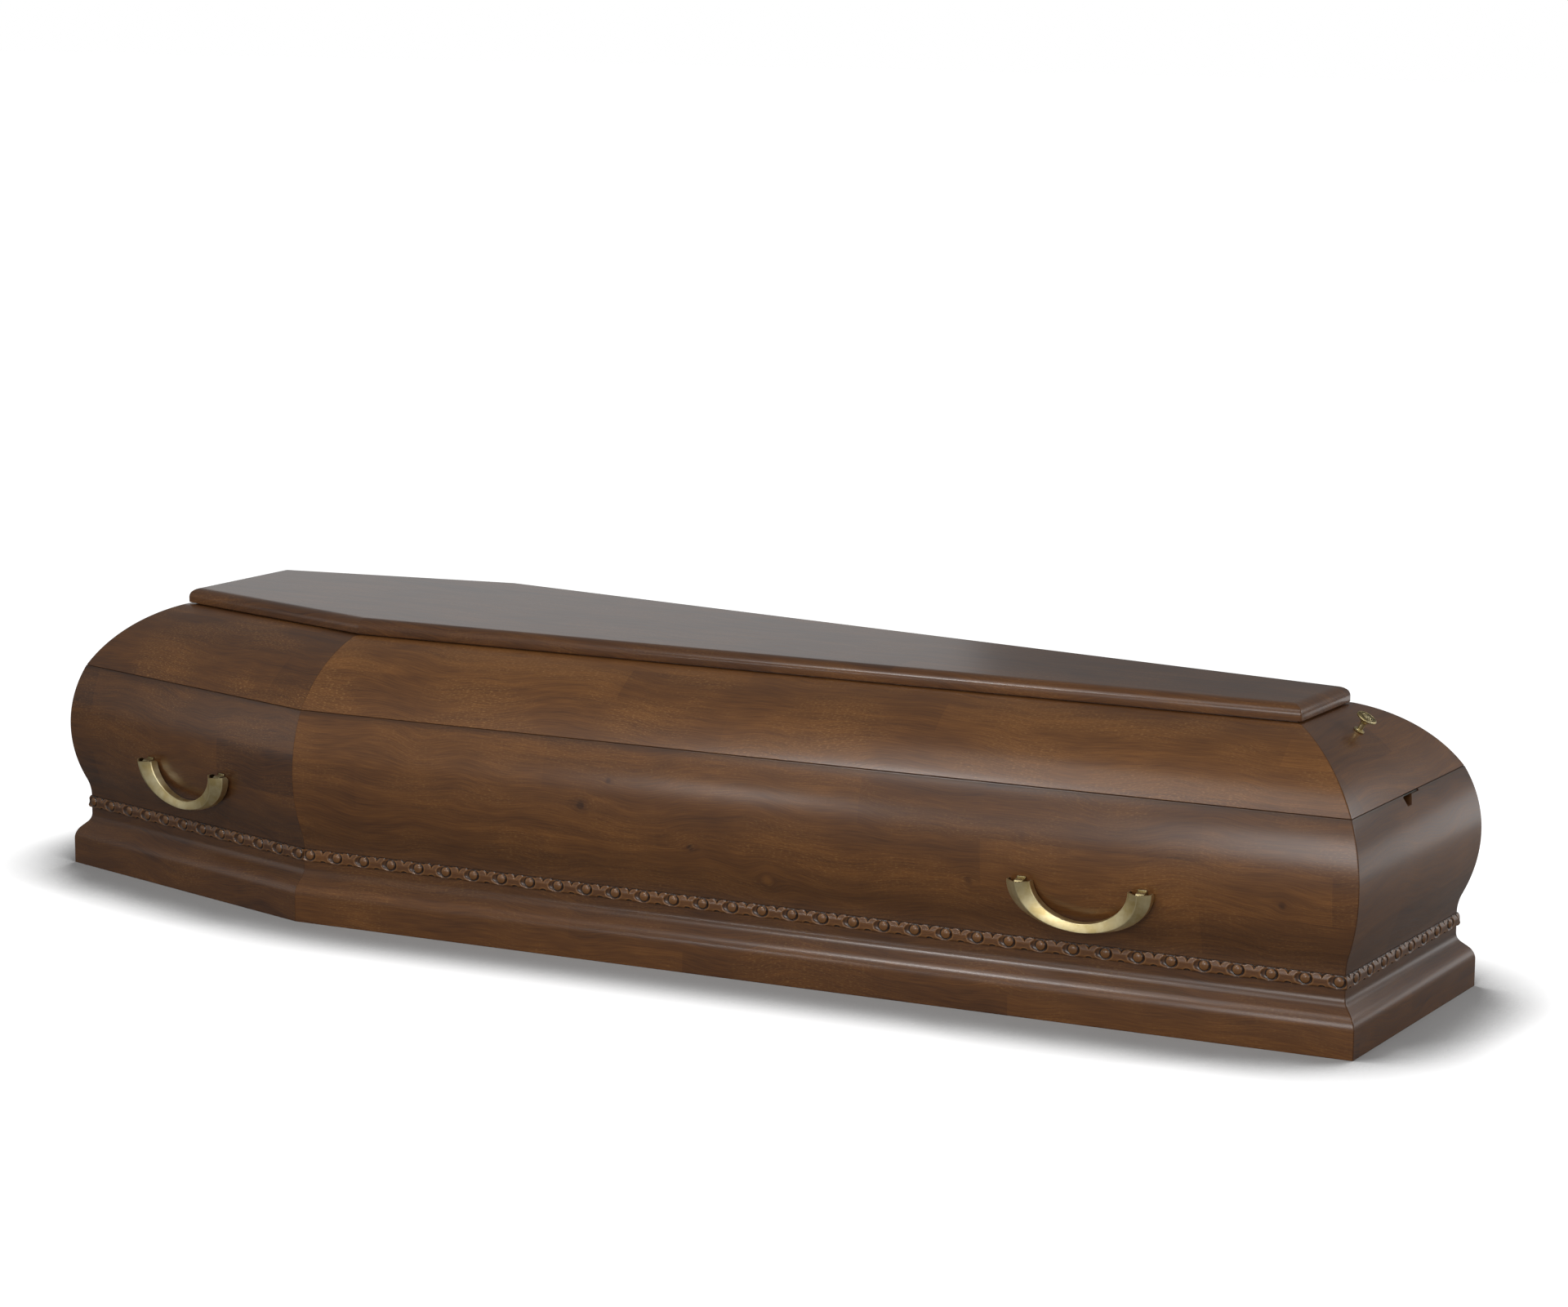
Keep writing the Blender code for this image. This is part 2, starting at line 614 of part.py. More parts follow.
def add_closing_parts(side, wall, lid):
    name = SIDES[side]
    frame = screw_frame(side)
    screw = add_object("screw_" + name, screw_mesh(), BRASS)
    screw.matrix_world = frame
    hole_radius = SCREW_SHAFT_RADIUS + PIN_CLEARANCE
    hole = turned([(hole_radius, -SCREW_DEPTH - GAP), (hole_radius, SCREW_DEPTH)], SCREW_SIDES)
    combine(lid, hole, "hole_" + name, "DIFFERENCE", frame)

    plate_top = SPLIT_HEIGHT - NUT_PLATE_BELOW_SPLIT
    plate_low = plate_top - NUT_PLATE_THICKNESS
    half = NUT_PLATE_WIDTH / 2
    plate_front = wall_face_at(plate_top)[0] + NUT_PLATE_SETBACK
    plate_back = plate_front + NUT_PLATE_DEPTH
    plate = end_block(side, rectangle(half, plate_low, plate_top), plate_front, plate_back)
    add_object("nut_plate_" + name, plate, STEEL)
    seat = rectangle(half + GAP, plate_low - GAP, SPLIT_HEIGHT + ARRIS)
    combine(wall, end_block(side, seat, -ARRIS, plate_back + GAP), "seat_" + name, "DIFFERENCE")
    notch = [(RECESS_FOOT[0], plate_low - RECESS_FALL), (RECESS_FOOT[1], plate_low - RECESS_FALL),
             (RECESS_TOP[1], plate_low), (RECESS_TOP[0], plate_low)]
    notch_block = end_block(side, notch, -ARRIS, plate_front + RECESS_DEPTH)
    combine(wall, notch_block, "recess_" + name, "DIFFERENCE")


WOOD = ((0.115, 0.055, 0.030), 0.38, 0.0)
BRASS = ((0.50, 0.39, 0.16), 0.32, 1.0)
STEEL = ((0.10, 0.10, 0.10), 0.45, 1.0)


def build():
    for thing in list(bpy.data.objects):
        bpy.data.objects.remove(thing)
    add_object("bottom_board", bottom_board(), WOOD)
    for side, name in enumerate(SIDES):
        wall = add_object("wall_" + name, mitred_board(side, wall_profile()), WOOD)
        add_object("plinth_" + name, mitred_board(side, plinth_profile()), WOOD)
        add_object("strip_" + name, carved_strip(side), WOOD)
        lid = add_object("lid_" + name, mitred_board(side, lid_profile()), WOOD)
        if name in ENDS:
            add_closing_parts(side, wall, lid)
    add_object("lid_board", lid_board(), WOOD)
    handles = {"left_head": (HEAD_HANDLE_FROM_HEAD, HEAD_PIVOT_HEIGHT),
               "left_foot": (FOOT_HANDLE_FROM_SHOULDER, FOOT_PIVOT_HEIGHT)}
    for name, (distance, height) in handles.items():
        side = SIDES.index(name)
        add_handle(side, distance, height)
        mirrored = SIDES.index(name.replace("left", "right"))
        add_handle(mirrored, side_length(mirrored) - distance, height)


build()
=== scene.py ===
# %% [markdown]
# # A walnut-stained coffin
#
# This lesson dresses the frame of a six-sided coffin: a bellied box on a
# moulded plinth, a carved strip, a hollow curved lid, and four brass handles.
# The frame holds the plain solids. Here each piece is made again from the same
# sizes, but with true curves, soft edges and the full carving, and gets its
# finish.
#
# All places are in metres: +X is the foot end, +Z is up, and -Y is the near side.

# %% Load the frame
import json

import bpy
import numpy as np
from math import asin, atan2, cos, pi, radians, sin, tan
from mathutils import Matrix, Vector

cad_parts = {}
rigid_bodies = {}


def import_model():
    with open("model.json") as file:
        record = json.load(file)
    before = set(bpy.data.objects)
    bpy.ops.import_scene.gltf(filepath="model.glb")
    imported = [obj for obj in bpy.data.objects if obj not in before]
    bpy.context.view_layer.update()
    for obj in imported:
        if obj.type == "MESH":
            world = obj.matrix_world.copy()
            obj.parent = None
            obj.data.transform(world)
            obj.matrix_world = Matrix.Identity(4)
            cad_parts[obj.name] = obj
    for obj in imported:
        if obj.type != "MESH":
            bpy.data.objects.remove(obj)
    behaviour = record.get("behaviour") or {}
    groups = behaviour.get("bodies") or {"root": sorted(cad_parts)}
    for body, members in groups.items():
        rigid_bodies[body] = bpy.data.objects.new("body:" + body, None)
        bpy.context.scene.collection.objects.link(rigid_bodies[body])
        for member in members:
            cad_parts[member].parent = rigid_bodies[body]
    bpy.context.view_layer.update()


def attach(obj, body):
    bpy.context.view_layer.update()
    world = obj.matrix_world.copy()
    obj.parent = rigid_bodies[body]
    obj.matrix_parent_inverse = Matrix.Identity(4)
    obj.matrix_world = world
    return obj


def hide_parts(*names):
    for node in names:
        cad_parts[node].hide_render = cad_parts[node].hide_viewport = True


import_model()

# %% [markdown]
# ## The camera
#
# The photograph was taken from near the foot end with a fairly long lens. A
# camera can be placed by eye, or worked out from edges whose real lengths
# stand in a known ratio. This one was worked out: its place, its two angles
# and its slight roll make the plinth's and the lid's edges fall on the
# photograph's.

# %% Camera
CAMERA_PLACE = Vector((2.6773, -4.3951, 1.2962))
CAMERA_AZIMUTH = radians(30.6275)
CAMERA_ELEVATION = radians(10.1592)
CAMERA_ROLL = radians(0.3461)
LENS_MM = 87.69


def camera_turn(azimuth, elevation, roll):
    """The camera's axes as columns: right, up, and back towards the viewer.
    Right and up turn about back by the roll."""
    back = Vector((sin(azimuth) * cos(elevation), -cos(azimuth) * cos(elevation), sin(elevation)))
    right = Vector((cos(azimuth), sin(azimuth), 0))
    up = back.cross(right)
    columns = (right * cos(roll) + up * sin(roll), up * cos(roll) - right * sin(roll), back)
    return Matrix(columns).transposed()


camera = bpy.data.objects.new("camera", bpy.data.cameras.new("camera"))
camera.data.lens = LENS_MM
camera.data.sensor_width = 36
turn = camera_turn(CAMERA_AZIMUTH, CAMERA_ELEVATION, CAMERA_ROLL)
camera.matrix_world = Matrix.Translation(CAMERA_PLACE) @ turn.to_4x4()
bpy.context.collection.objects.link(camera)
bpy.context.scene.camera = camera
print("camera at", [round(v, 3) for v in CAMERA_PLACE])

# %% [markdown]
# ## The plan
#
# A coffin's plan has six corners: it is widest at the shoulders and narrows to
# both ends. Every moulding runs round that plan, so one idea serves all of
# them: a point of a profile has a height and an inset, which is how far it lies
# inside the plinth's face. Where two sides meet, both are cut on the mitre, the
# line that halves the corner.

# %% Plan
LENGTH = 2.000
SHOULDER_FROM_HEAD = 0.4934
HEAD_WIDTH = 0.446
SHOULDER_WIDTH = 0.670
FOOT_WIDTH = 0.412
SIDES = ("left_head", "left_foot", "foot_end", "right_foot", "right_head", "head_end")
GAP = 0.0003

stations = np.array([-LENGTH / 2, -LENGTH / 2 + SHOULDER_FROM_HEAD, LENGTH / 2])
half_widths = np.array([HEAD_WIDTH, SHOULDER_WIDTH, FOOT_WIDTH]) / 2
CORNERS = np.concatenate([np.stack([stations, -half_widths], 1),
                          np.stack([stations, half_widths], 1)[::-1]])
edges = np.roll(CORNERS, -1, axis=0) - CORNERS
LENGTHS = np.linalg.norm(edges, axis=1)
RUN = edges / LENGTHS[:, None]
OUT = np.stack([RUN[:, 1], -RUN[:, 0]], 1)
before = np.roll(RUN, 1, axis=0)
HALF_TURN = np.arccos(np.sum(before * RUN, axis=1)) / 2
print("side lengths (mm):", np.round(LENGTHS * 1000, 1))


def placed(side, s, inset, height):
    """Points in the room for arrays of distance along a side, inset and height:
    the side's corner, plus s along its run, minus the inset square to it."""
    flat = CORNERS[side] + s[..., None] * RUN[side] - inset[..., None] * OUT[side]
    return np.concatenate([flat, height[..., None]], axis=-1)


# %% [markdown]
# ## Turning arrays of points into a mesh
#
# Blender can build a mesh face by face, but arrays are faster and shorter. Most
# pieces here are tubes: a closed ring of points, repeated from one end to the
# other, with a cap on each end. The tube's volume tells which way its faces
# look, so they are turned over if it comes out negative.

# %% Mesh helpers
SMOOTH_ANGLE = radians(28)


def signed_volume(points, faces):
    """Six times the volume: each face's first corner, crossed with its edges."""
    total = 0.0
    for face in faces:
        corners = points[face]
        fan = np.cross(corners[:, 1:-1], corners[:, 2:])
        total += np.sum(corners[:, :1] * fan)
    return total


def circle(radius, turn):
    """Points (radius cos, radius sin) at each angle."""
    return radius * np.stack([np.cos(turn), np.sin(turn)], -1)


def ring_quads(j, i, n, m):
    """Quads from point i of ring j to the next point and the next ring, for n rings
    of m points, where the last is followed by the first."""
    k, after = (i + 1) % m, (j + 1) % n
    return np.stack([j * m + i, j * m + k, after * m + k, after * m + i], -1).reshape(-1, 4)


def vertex_places(thing):
    """The vertices of a piece as an array of rows (x, y, z)."""
    places = np.empty(len(thing.data.vertices) * 3)
    thing.data.vertices.foreach_get("co", places)
    return places.reshape(-1, 3)


def mesh_piece(name, points, faces, uv=None, shade=SMOOTH_ANGLE):
    """A mesh object from points, lists of equal-sided faces, and a UV per corner."""
    if signed_volume(points, faces) < 0:
        faces = [face[:, ::-1] for face in faces]
        uv = None if uv is None else [corner[:, ::-1] for corner in uv]
    mesh = bpy.data.meshes.new(name)
    mesh.from_pydata(points.tolist(), [], [row for face in faces for row in face.tolist()])
    if uv is not None:
        layer = mesh.uv_layers.new(name="grain")
        layer.data.foreach_set("uv", np.concatenate([corner.reshape(-1) for corner in uv]))
    mesh.shade_smooth()
    mesh.set_sharp_from_angle(angle=shade)
    thing = bpy.data.objects.new(name, mesh)
    bpy.context.collection.objects.link(thing)
    return thing


def tube(name, points, along=None, shade=SMOOTH_ANGLE):
    """A closed body from rings: points[j, i] is point i of ring j. The UV runs
    along the body in u (given per point in metres, or measured), and round each
    ring in v, the distance from its first point."""
    n, m = points.shape[:2]
    j, i = np.meshgrid(np.arange(n - 1), np.arange(m), indexing="ij")
    k = (i + 1) % m
    caps = np.stack([np.arange(m)[::-1], (n - 1) * m + np.arange(m)])
    steps = np.linalg.norm(np.diff(points, axis=1, append=points[:, :1]), axis=-1)
    v = np.concatenate([np.zeros((n, 1)), np.cumsum(steps, axis=1)], axis=1)
    if along is None:
        hops = np.linalg.norm(np.diff(points, axis=0), axis=-1).mean(axis=1)
        along = np.repeat(np.concatenate([[0], np.cumsum(hops)])[:, None], m, axis=1)
    u_corners = np.stack([along[j, i], along[j, k], along[j + 1, k], along[j + 1, i]], -1)
    v_corners = np.stack([v[j, i], v[j, i + 1], v[j + 1, i + 1], v[j + 1, i]], -1)
    uv = np.stack([u_corners, v_corners], -1).reshape(-1, 4, 2)
    cap_uv = np.stack([np.stack([along[0], v[0, :-1]], -1)[::-1],
                       np.stack([along[-1], v[-1, :-1]], -1)])
    faces = [ring_quads(j, i, n, m), caps]
    return mesh_piece(name, points.reshape(-1, 3), faces, [uv, cap_uv], shade)


def paint(thing, name, values):
    """Stores one number per vertex, which a material reads under that name."""
    values = np.broadcast_to(values, len(thing.data.vertices)).astype(np.float32)
    thing.data.attributes.new(name, "FLOAT", "POINT").data.foreach_set("value", values)


def triangles(thing):
    """How many triangles a piece has."""
    thing.data.calc_loop_triangles()
    return len(thing.data.loop_triangles)


# %% [markdown]
# ## Profiles
#
# A moulding is drawn as its section. The box wall's section is a straight foot,
# a hollow cove and a round belly. The cove and the belly are two arcs that pass
# into each other with no break, so one size decides the other. The lid's
# section carries the belly's curve on, over a narrow dark joint. Drawing with
# arcs keeps the surface smooth when light slides over it, which a few straight
# facets don't.

# %% Profile sizes
WALL_THICKNESS = 0.020
WALL_FOOT_INSET = 0.022
NECK_INSET = 0.0205
STRIP_LOW, STRIP_HEIGHT = 0.0825, 0.0172
NECK_TOP = STRIP_LOW + STRIP_HEIGHT + GAP
BELLY_HEIGHT, BELLY_PROUD, COVE_SHARE = 0.206, 0.0013, 0.2368
SPLIT_HEIGHT = 0.294
ARRIS, RIM_EASE = 0.0005, 0.0014

BELLY_RISE = BELLY_HEIGHT - NECK_TOP
BELLY_STEP = NECK_INSET + BELLY_PROUD
RADII_SUM = (BELLY_STEP ** 2 + BELLY_RISE ** 2) / (2 * BELLY_STEP)
COVE_RADIUS = RADII_SUM * COVE_SHARE
BELLY_RADIUS = RADII_SUM - COVE_RADIUS
BELLY_CENTRE_INSET = BELLY_RADIUS - BELLY_PROUD
RIM_INSET = BELLY_CENTRE_INSET - (BELLY_RADIUS ** 2 - (SPLIT_HEIGHT - BELLY_HEIGHT) ** 2) ** 0.5

LID_HEIGHT, LID_THICKNESS = 0.087, 0.018
LID_START, LID_END = radians(31), radians(73.07)
LID_TOP = SPLIT_HEIGHT + LID_HEIGHT
LID_TOP_WIDTH = 0.0346
LID_RADIUS = LID_HEIGHT / (sin(LID_END) - sin(LID_START))
LID_SETBACK = 0.0002
LID_CENTRE = (RIM_INSET + LID_SETBACK + LID_RADIUS * cos(LID_START),
              SPLIT_HEIGHT - LID_RADIUS * sin(LID_START))
LID_TOP_INSET = LID_CENTRE[0] - LID_RADIUS * cos(LID_END)


def arc(centre, radius, start, end, count, inwards=1):
    """Points on a circle by the slope off upright: (inset, height) is the centre
    minus radius times (cos, -sin) of the slope, or plus where inwards is -1."""
    slope = np.linspace(start, end, count)
    return np.stack([centre[0] - inwards * radius * np.cos(slope),
                     centre[1] + inwards * radius * np.sin(slope)], 1)


def wall_curve(depth, rim, cove_count, belly_count):
    """The cove and the belly, moved inwards by a depth, up to the rim's height."""
    cove = (NECK_INSET - COVE_RADIUS, NECK_TOP)
    meeting = atan2(BELLY_RISE, BELLY_CENTRE_INSET - cove[0])
    top = asin((rim - BELLY_HEIGHT) / (BELLY_RADIUS - depth))
    hollow = arc(cove, COVE_RADIUS + depth, 0, -meeting, cove_count, -1)
    belly = arc((BELLY_CENTRE_INSET, BELLY_HEIGHT), BELLY_RADIUS - depth, -meeting, top, belly_count)
    return np.concatenate([hollow, belly[1:]])


def rounded_edge(corner, before, after, radius, count=5):
    """An edge of a section eased with a small arc: points on a quadratic curve
    from radius short of the corner to radius past it, pulled towards it."""
    corner, before, after = (np.array(p) for p in (corner, before, after))
    start = corner + (before - corner) / np.linalg.norm(before - corner) * radius
    end = corner + (after - corner) / np.linalg.norm(after - corner) * radius
    t = np.linspace(0, 1, count)[:, None]
    return (1 - t) ** 2 * start + 2 * t * (1 - t) * corner + t ** 2 * end


# %% Sections of the wooden mouldings
# The CAD's belly has longer chords than this one, so the curve keeps as far inside
# its arc as those chords do, and the coffin keeps its width.
CHORD_SAG = 0.0001


def wall_section():
    """The wall's outline, and how many of its points are the outside's: up the
    outer face, over the eased rim and down the inner face, 20 mm further in."""
    rim = SPLIT_HEIGHT - GAP
    outer = wall_curve(CHORD_SAG, rim - RIM_EASE, 14, 44)
    inner = wall_curve(WALL_THICKNESS, rim, 8, 20)[::-1]
    edge = rounded_edge((outer[-1][0] + RIM_EASE * 0.4, rim), outer[-1], inner[0], RIM_EASE)
    foot = [(WALL_FOOT_INSET, 0), (WALL_FOOT_INSET, NECK_TOP)]
    section = np.concatenate([foot, outer, edge, inner, [(NECK_INSET + WALL_THICKNESS, 0)]])
    return section, len(foot) + len(outer) + len(edge)


OGEE_START, OGEE_SLOPE = 0.0357, radians(47)
OGEE_ROUND, OGEE_HOLLOW = 0.0248, 0.0176
PLINTH_EASE, EASE_ARM = 0.0012, 0.01
PLINTH_HEIGHT = STRIP_LOW - GAP


def plinth_section():
    """An upright face, then an ogee: a round arc and a hollow arc of the same slope,
    with a short straight between them that makes up the step to the neck."""
    rounds = OGEE_ROUND + OGEE_HOLLOW
    straight = (NECK_INSET - rounds * (1 - cos(OGEE_SLOPE))) / tan(OGEE_SLOPE)
    hollow_top = OGEE_START + rounds * sin(OGEE_SLOPE) + straight
    round_part = arc((OGEE_ROUND, OGEE_START), OGEE_ROUND, 0, OGEE_SLOPE, 16)
    hollow = arc((NECK_INSET - OGEE_HOLLOW, hollow_top), OGEE_HOLLOW, OGEE_SLOPE, 0, 14, -1)
    foot = rounded_edge((0, 0), (EASE_ARM, 0), (0, EASE_ARM), PLINTH_EASE)
    outer = np.concatenate([foot, round_part, hollow, [(NECK_INSET, PLINTH_HEIGHT)]])
    back = WALL_FOOT_INSET - GAP
    return np.concatenate([outer, [(back, PLINTH_HEIGHT), (back, 0)]]), len(outer)


def lid_section():
    """Two arcs about one centre, the lid's thickness apart. The inner one ends under
    the board on the lid, where the lid's top is flat."""
    low = asin((SPLIT_HEIGHT + ARRIS - LID_CENTRE[1]) / LID_RADIUS)
    outer = arc(LID_CENTRE, LID_RADIUS, low, LID_END, 48)
    inner_radius = LID_RADIUS - LID_THICKNESS
    across = LID_CENTRE[0] - LID_TOP_INSET - LID_TOP_WIDTH
    inner_low = asin((SPLIT_HEIGHT - LID_CENTRE[1]) / inner_radius)
    inner_high = atan2((inner_radius ** 2 - across ** 2) ** 0.5, across)
    inner = arc(LID_CENTRE, inner_radius, inner_high, inner_low, 18)
    edge = rounded_edge((outer[0][0] + ARRIS * 0.4, SPLIT_HEIGHT), inner[-1], outer[0], ARRIS)
    top = [(LID_TOP_INSET + LID_TOP_WIDTH, LID_TOP)]
    return np.concatenate([edge, outer, top, inner]), len(edge) + len(outer)


# %% [markdown]
# ## Carrying a section along a side
#
# A joiner runs the moulding in one length and cuts its ends on the mitre. In
# arrays the same thing is a grid: one row per station along the side, one
# column per point of the section. The last few stations at each end also bend
# round the corner, because sandpaper and lacquer leave no knife edge there. The
# bend is an arc that touches both faces and ends on the mitre.

# %% Carry a section
CORNER_EASE = 0.0016


def mitred_ends(side, inset, ease, outside):
    """Distance along the side, and inset, of the stations near both ends. At a
    corner that turns by two half turns h, an eased edge of radius r starts
    r tan h short of it; at an angle a on its arc, it lies r sin a further on and
    r (1 - cos a) deeper, which reaches the mitre at a = h."""
    shares = np.linspace(1, 0, 5) if ease > 0 else np.array([1.0])
    ends = []
    for h in (HALF_TURN[side], HALF_TURN[(side + 1) % 6]):
        angle = shares[:, None] * h
        short = ease * (tan(h) - np.sin(angle))
        deeper = ease * (1 - np.cos(angle)) * outside
        ends.append((short, deeper, inset * tan(h) + GAP / 2 / cos(h)))
    (start_short, start_deeper, start), (end_short, end_deeper, end) = ends
    s = np.concatenate([start + start_short, (LENGTHS[side] - end - end_short)[::-1]])
    return s, inset + np.concatenate([start_deeper, end_deeper[::-1]])


def carried(name, side, section, visible, ease=CORNER_EASE):
    """One mitred board: its section at each station along a side."""
    outside = (np.arange(len(section)) < visible).astype(float)
    s, inset = mitred_ends(side, section[:, 0], ease, outside)
    height = np.broadcast_to(section[:, 1], s.shape)
    return tube(name, placed(side, s, inset, height), along=s)


walls, plinths, lids = {}, {}, {}
for side, name in enumerate(SIDES):
    walls[name] = carried("box_wall_" + name, side, *wall_section())
    plinths[name] = carried("plinth_board_" + name, side, *plinth_section())
    lids[name] = carried("lid_wall_" + name, side, *lid_section())
print("mouldings:", sum(triangles(o) for g in (walls, plinths, lids) for o in g.values()), "triangles")

# %% [markdown]
# ## The board on the lid
#
# This is one flat board, so its edge is shaped all the way round with a router:
# a rebate below that throws a dark line, a short upright lip, and a rounded
# upper edge. Its corners are eased too. It is made as a stack of outlines, each
# the plan's six corners at its own inset, with a small arc at each corner.

# %% Lid board
BOARD_SIDE_SETBACK, BOARD_END_SETBACK = 0.0071, 0.0031
BOARD_THICKNESS = 0.0227
REBATE_DEPTH, REBATE_WIDTH = 0.002, 0.008
BOARD_LIP, BOARD_ROUND_WIDTH = 0.0075, 0.017
BOARD_CORNER, SHARPEST_CORNER = 0.003, 0.0004
BOARD_EASE, EASE_START = 0.0010, 0.0003


def rounded_plan(inset, corner_radius, count=7):
    """The six-sided outline at an inset, with an arc at each corner. The arc's
    centre lies on both sides' lines moved in by the radius, and it turns from one
    side's outward direction to the next."""
    setback = np.where(np.abs(OUT[:, 0]) > 0.9, BOARD_END_SETBACK, BOARD_SIDE_SETBACK)
    depth = LID_TOP_INSET + setback + inset + corner_radius
    points = []
    for i in range(6):
        sides = np.stack([OUT[i - 1], OUT[i]])
        offsets = np.sum(sides * CORNERS[i], axis=1) - depth[[i - 1, i]]
        centre = np.linalg.solve(sides, offsets)
        start = atan2(*OUT[i - 1][::-1])
        angle = start + np.linspace(0, 2 * HALF_TURN[i], count)
        points.append(centre + circle(corner_radius, angle))
    return np.concatenate(points)


def lid_board():
    """A stack of outlines up the board's edge, the rounded part a quarter ellipse."""
    seat = LID_TOP + GAP
    lip_low, top = seat + REBATE_DEPTH, seat + BOARD_THICKNESS
    lip_high = lip_low + BOARD_LIP
    levels = [(REBATE_WIDTH, seat), (REBATE_WIDTH, lip_low), (BOARD_EASE, lip_low),
              (EASE_START, lip_low + EASE_START), (0, lip_low + BOARD_EASE)]
    angle = np.linspace(0, pi / 2, 18)
    rounds = np.stack([BOARD_ROUND_WIDTH * (1 - np.cos(angle)),
                       lip_high + (top - lip_high) * np.sin(angle)], 1)
    levels += rounds.tolist() + [(BOARD_ROUND_WIDTH + 0.004, top), (BOARD_ROUND_WIDTH + 0.03, top)]
    rings = []
    for inset, height in levels:
        outline = rounded_plan(inset, max(BOARD_CORNER - inset, SHARPEST_CORNER))
        rings.append(np.concatenate([outline, np.full((len(outline), 1), height)], 1))
    return tube("lid_top_board", np.stack(rings))


board = lid_board()
loop_vertex = np.empty(len(board.data.loops), dtype=int)
board.data.loops.foreach_get("vertex_index", loop_vertex)
board_points = vertex_places(board)[loop_vertex]
flat_uv = np.stack([board_points[:, 0], board_points[:, 1] + board_points[:, 2]], 1)
board.data.uv_layers["grain"].data.foreach_set("uv", flat_uv.reshape(-1))
print("lid board:", triangles(board), "triangles")

# %% [markdown]
# ## The carved strip
#
# A strip of bead carving hides the joint between plinth and wall. Each unit has
# a round bead in an egg-shaped bowl, and a slab between two beads. The slab's
# upper edge slopes back and dips in a notch between two round lobes, and a
# small scallop is cut under the notch. The relief is a height over the strip's
# floor: each form gives a height at every point, and where forms meet, the
# deeper cut or the higher crown wins. Every unit is alike here, where a
# carver's differ a little.

# %% Carved strip
STRIP_PITCH, STRIP_END_MARGIN = 0.0433, 0.0105
STRIP_LEAF_INSET, STRIP_BEAD_INSET, STRIP_FLOOR_INSET = 0.0170, 0.0162, 0.0202
BEAD_RADIUS = 0.0068
CUP_REACH, RING_REACH = 0.0137, 0.0102
SLAB_SHOULDER, SLAB_FOOT = 0.0008, 0.0050
LOBE_DEPTH, LOBE_REACH = 0.0068, 0.0090
SCALLOP = (0.0045, 0.0024)
STRIP_CELL, STRIP_ROWS = 0.00062, 29
MITRE_SPREAD = 0.004
PAINTED_SHADE_DEPTH, PAINTED_SHADE_CELLS = 0.0004, 4
ENDS = ("foot_end", "head_end")


def soft_step(x, width):
    """0 below -width, 1 above +width, and a smooth cubic between."""
    t = np.clip(x / (2 * width) + 0.5, 0, 1)
    return t * t * (3 - 2 * t)


def strip_relief(x, z):
    """Height of the carving over the strip's floor, in metres, where x is the
    distance from the nearest bead's centre (from -pitch/2 to +pitch/2, negative
    on the left, seen from outside) and z is the height over the strip's middle.
    Slab: full height below the middle, then 1 - t ** 1.5 up to its thin top edge.
    Bowl: 1 - egg ** 3 of the slab's height, where egg is 1 on the hollow's rim."""
    slab_height = STRIP_FLOOR_INSET - STRIP_LEAF_INSET
    bead_height = STRIP_FLOOR_INSET - STRIP_BEAD_INSET
    half, far = STRIP_HEIGHT / 2, STRIP_PITCH / 2
    rise = np.clip((z - SLAB_SHOULDER) / (half - SLAB_SHOULDER), 0, 1)
    fall = np.clip((-z - SLAB_FOOT) / (half - SLAB_FOOT), 0, 1)
    slab = slab_height * (1 - 0.80 * rise ** 1.5) * (1 - 0.45 * fall ** 2)
    reach = np.where(x > 0, RING_REACH, CUP_REACH)
    egg = np.hypot(x / reach, z / (half * 0.99))
    bowl = np.clip(1 - egg ** 3, 0, 1) ** 0.6
    height = slab * (1 - bowl)
    from_notch = np.abs(np.abs(x) - far)
    lobe = LOBE_DEPTH * (1 - np.sqrt(1 - np.clip(1 - from_notch / LOBE_REACH, 0, 1) ** 2))
    shoulder = 0.0016 * np.clip((from_notch - 0.0075) / 0.0045, 0, 1) ** 2
    height = height * (1 - soft_step(z - (half - np.maximum(lobe, shoulder)), 0.0003))
    scallop = np.hypot(from_notch / SCALLOP[0], (z + half) / SCALLOP[1])
    height = height * (1 - 0.75 * soft_step((1 - scallop) * SCALLOP[1], 0.0004))
    dome = bead_height * np.sqrt(np.clip(1 - (np.hypot(x, z) / BEAD_RADIUS) ** 2, 0, 1))
    return np.maximum(np.maximum(height, 0.0001), dome)


def cavity(relief):
    """Painted shade in the carving's hollows, and wear on its ridges: a point's depth under the mean of the
    points one to four cells away, over 0.4 mm, kept between -1 and 1; above 0 it is painted shade, below 0 wear."""
    padded = np.pad(relief, PAINTED_SHADE_CELLS, mode="edge")
    columns, rows = relief.shape
    cells = range(2 * PAINTED_SHADE_CELLS + 1)
    near = [padded[i:i + columns, j:j + rows] for i in cells for j in cells
            if 0 < (i - PAINTED_SHADE_CELLS) ** 2 + (j - PAINTED_SHADE_CELLS) ** 2 <= PAINTED_SHADE_CELLS ** 2 + 1]
    return np.clip((sum(near) / len(near) - relief) / PAINTED_SHADE_DEPTH, -1, 1)


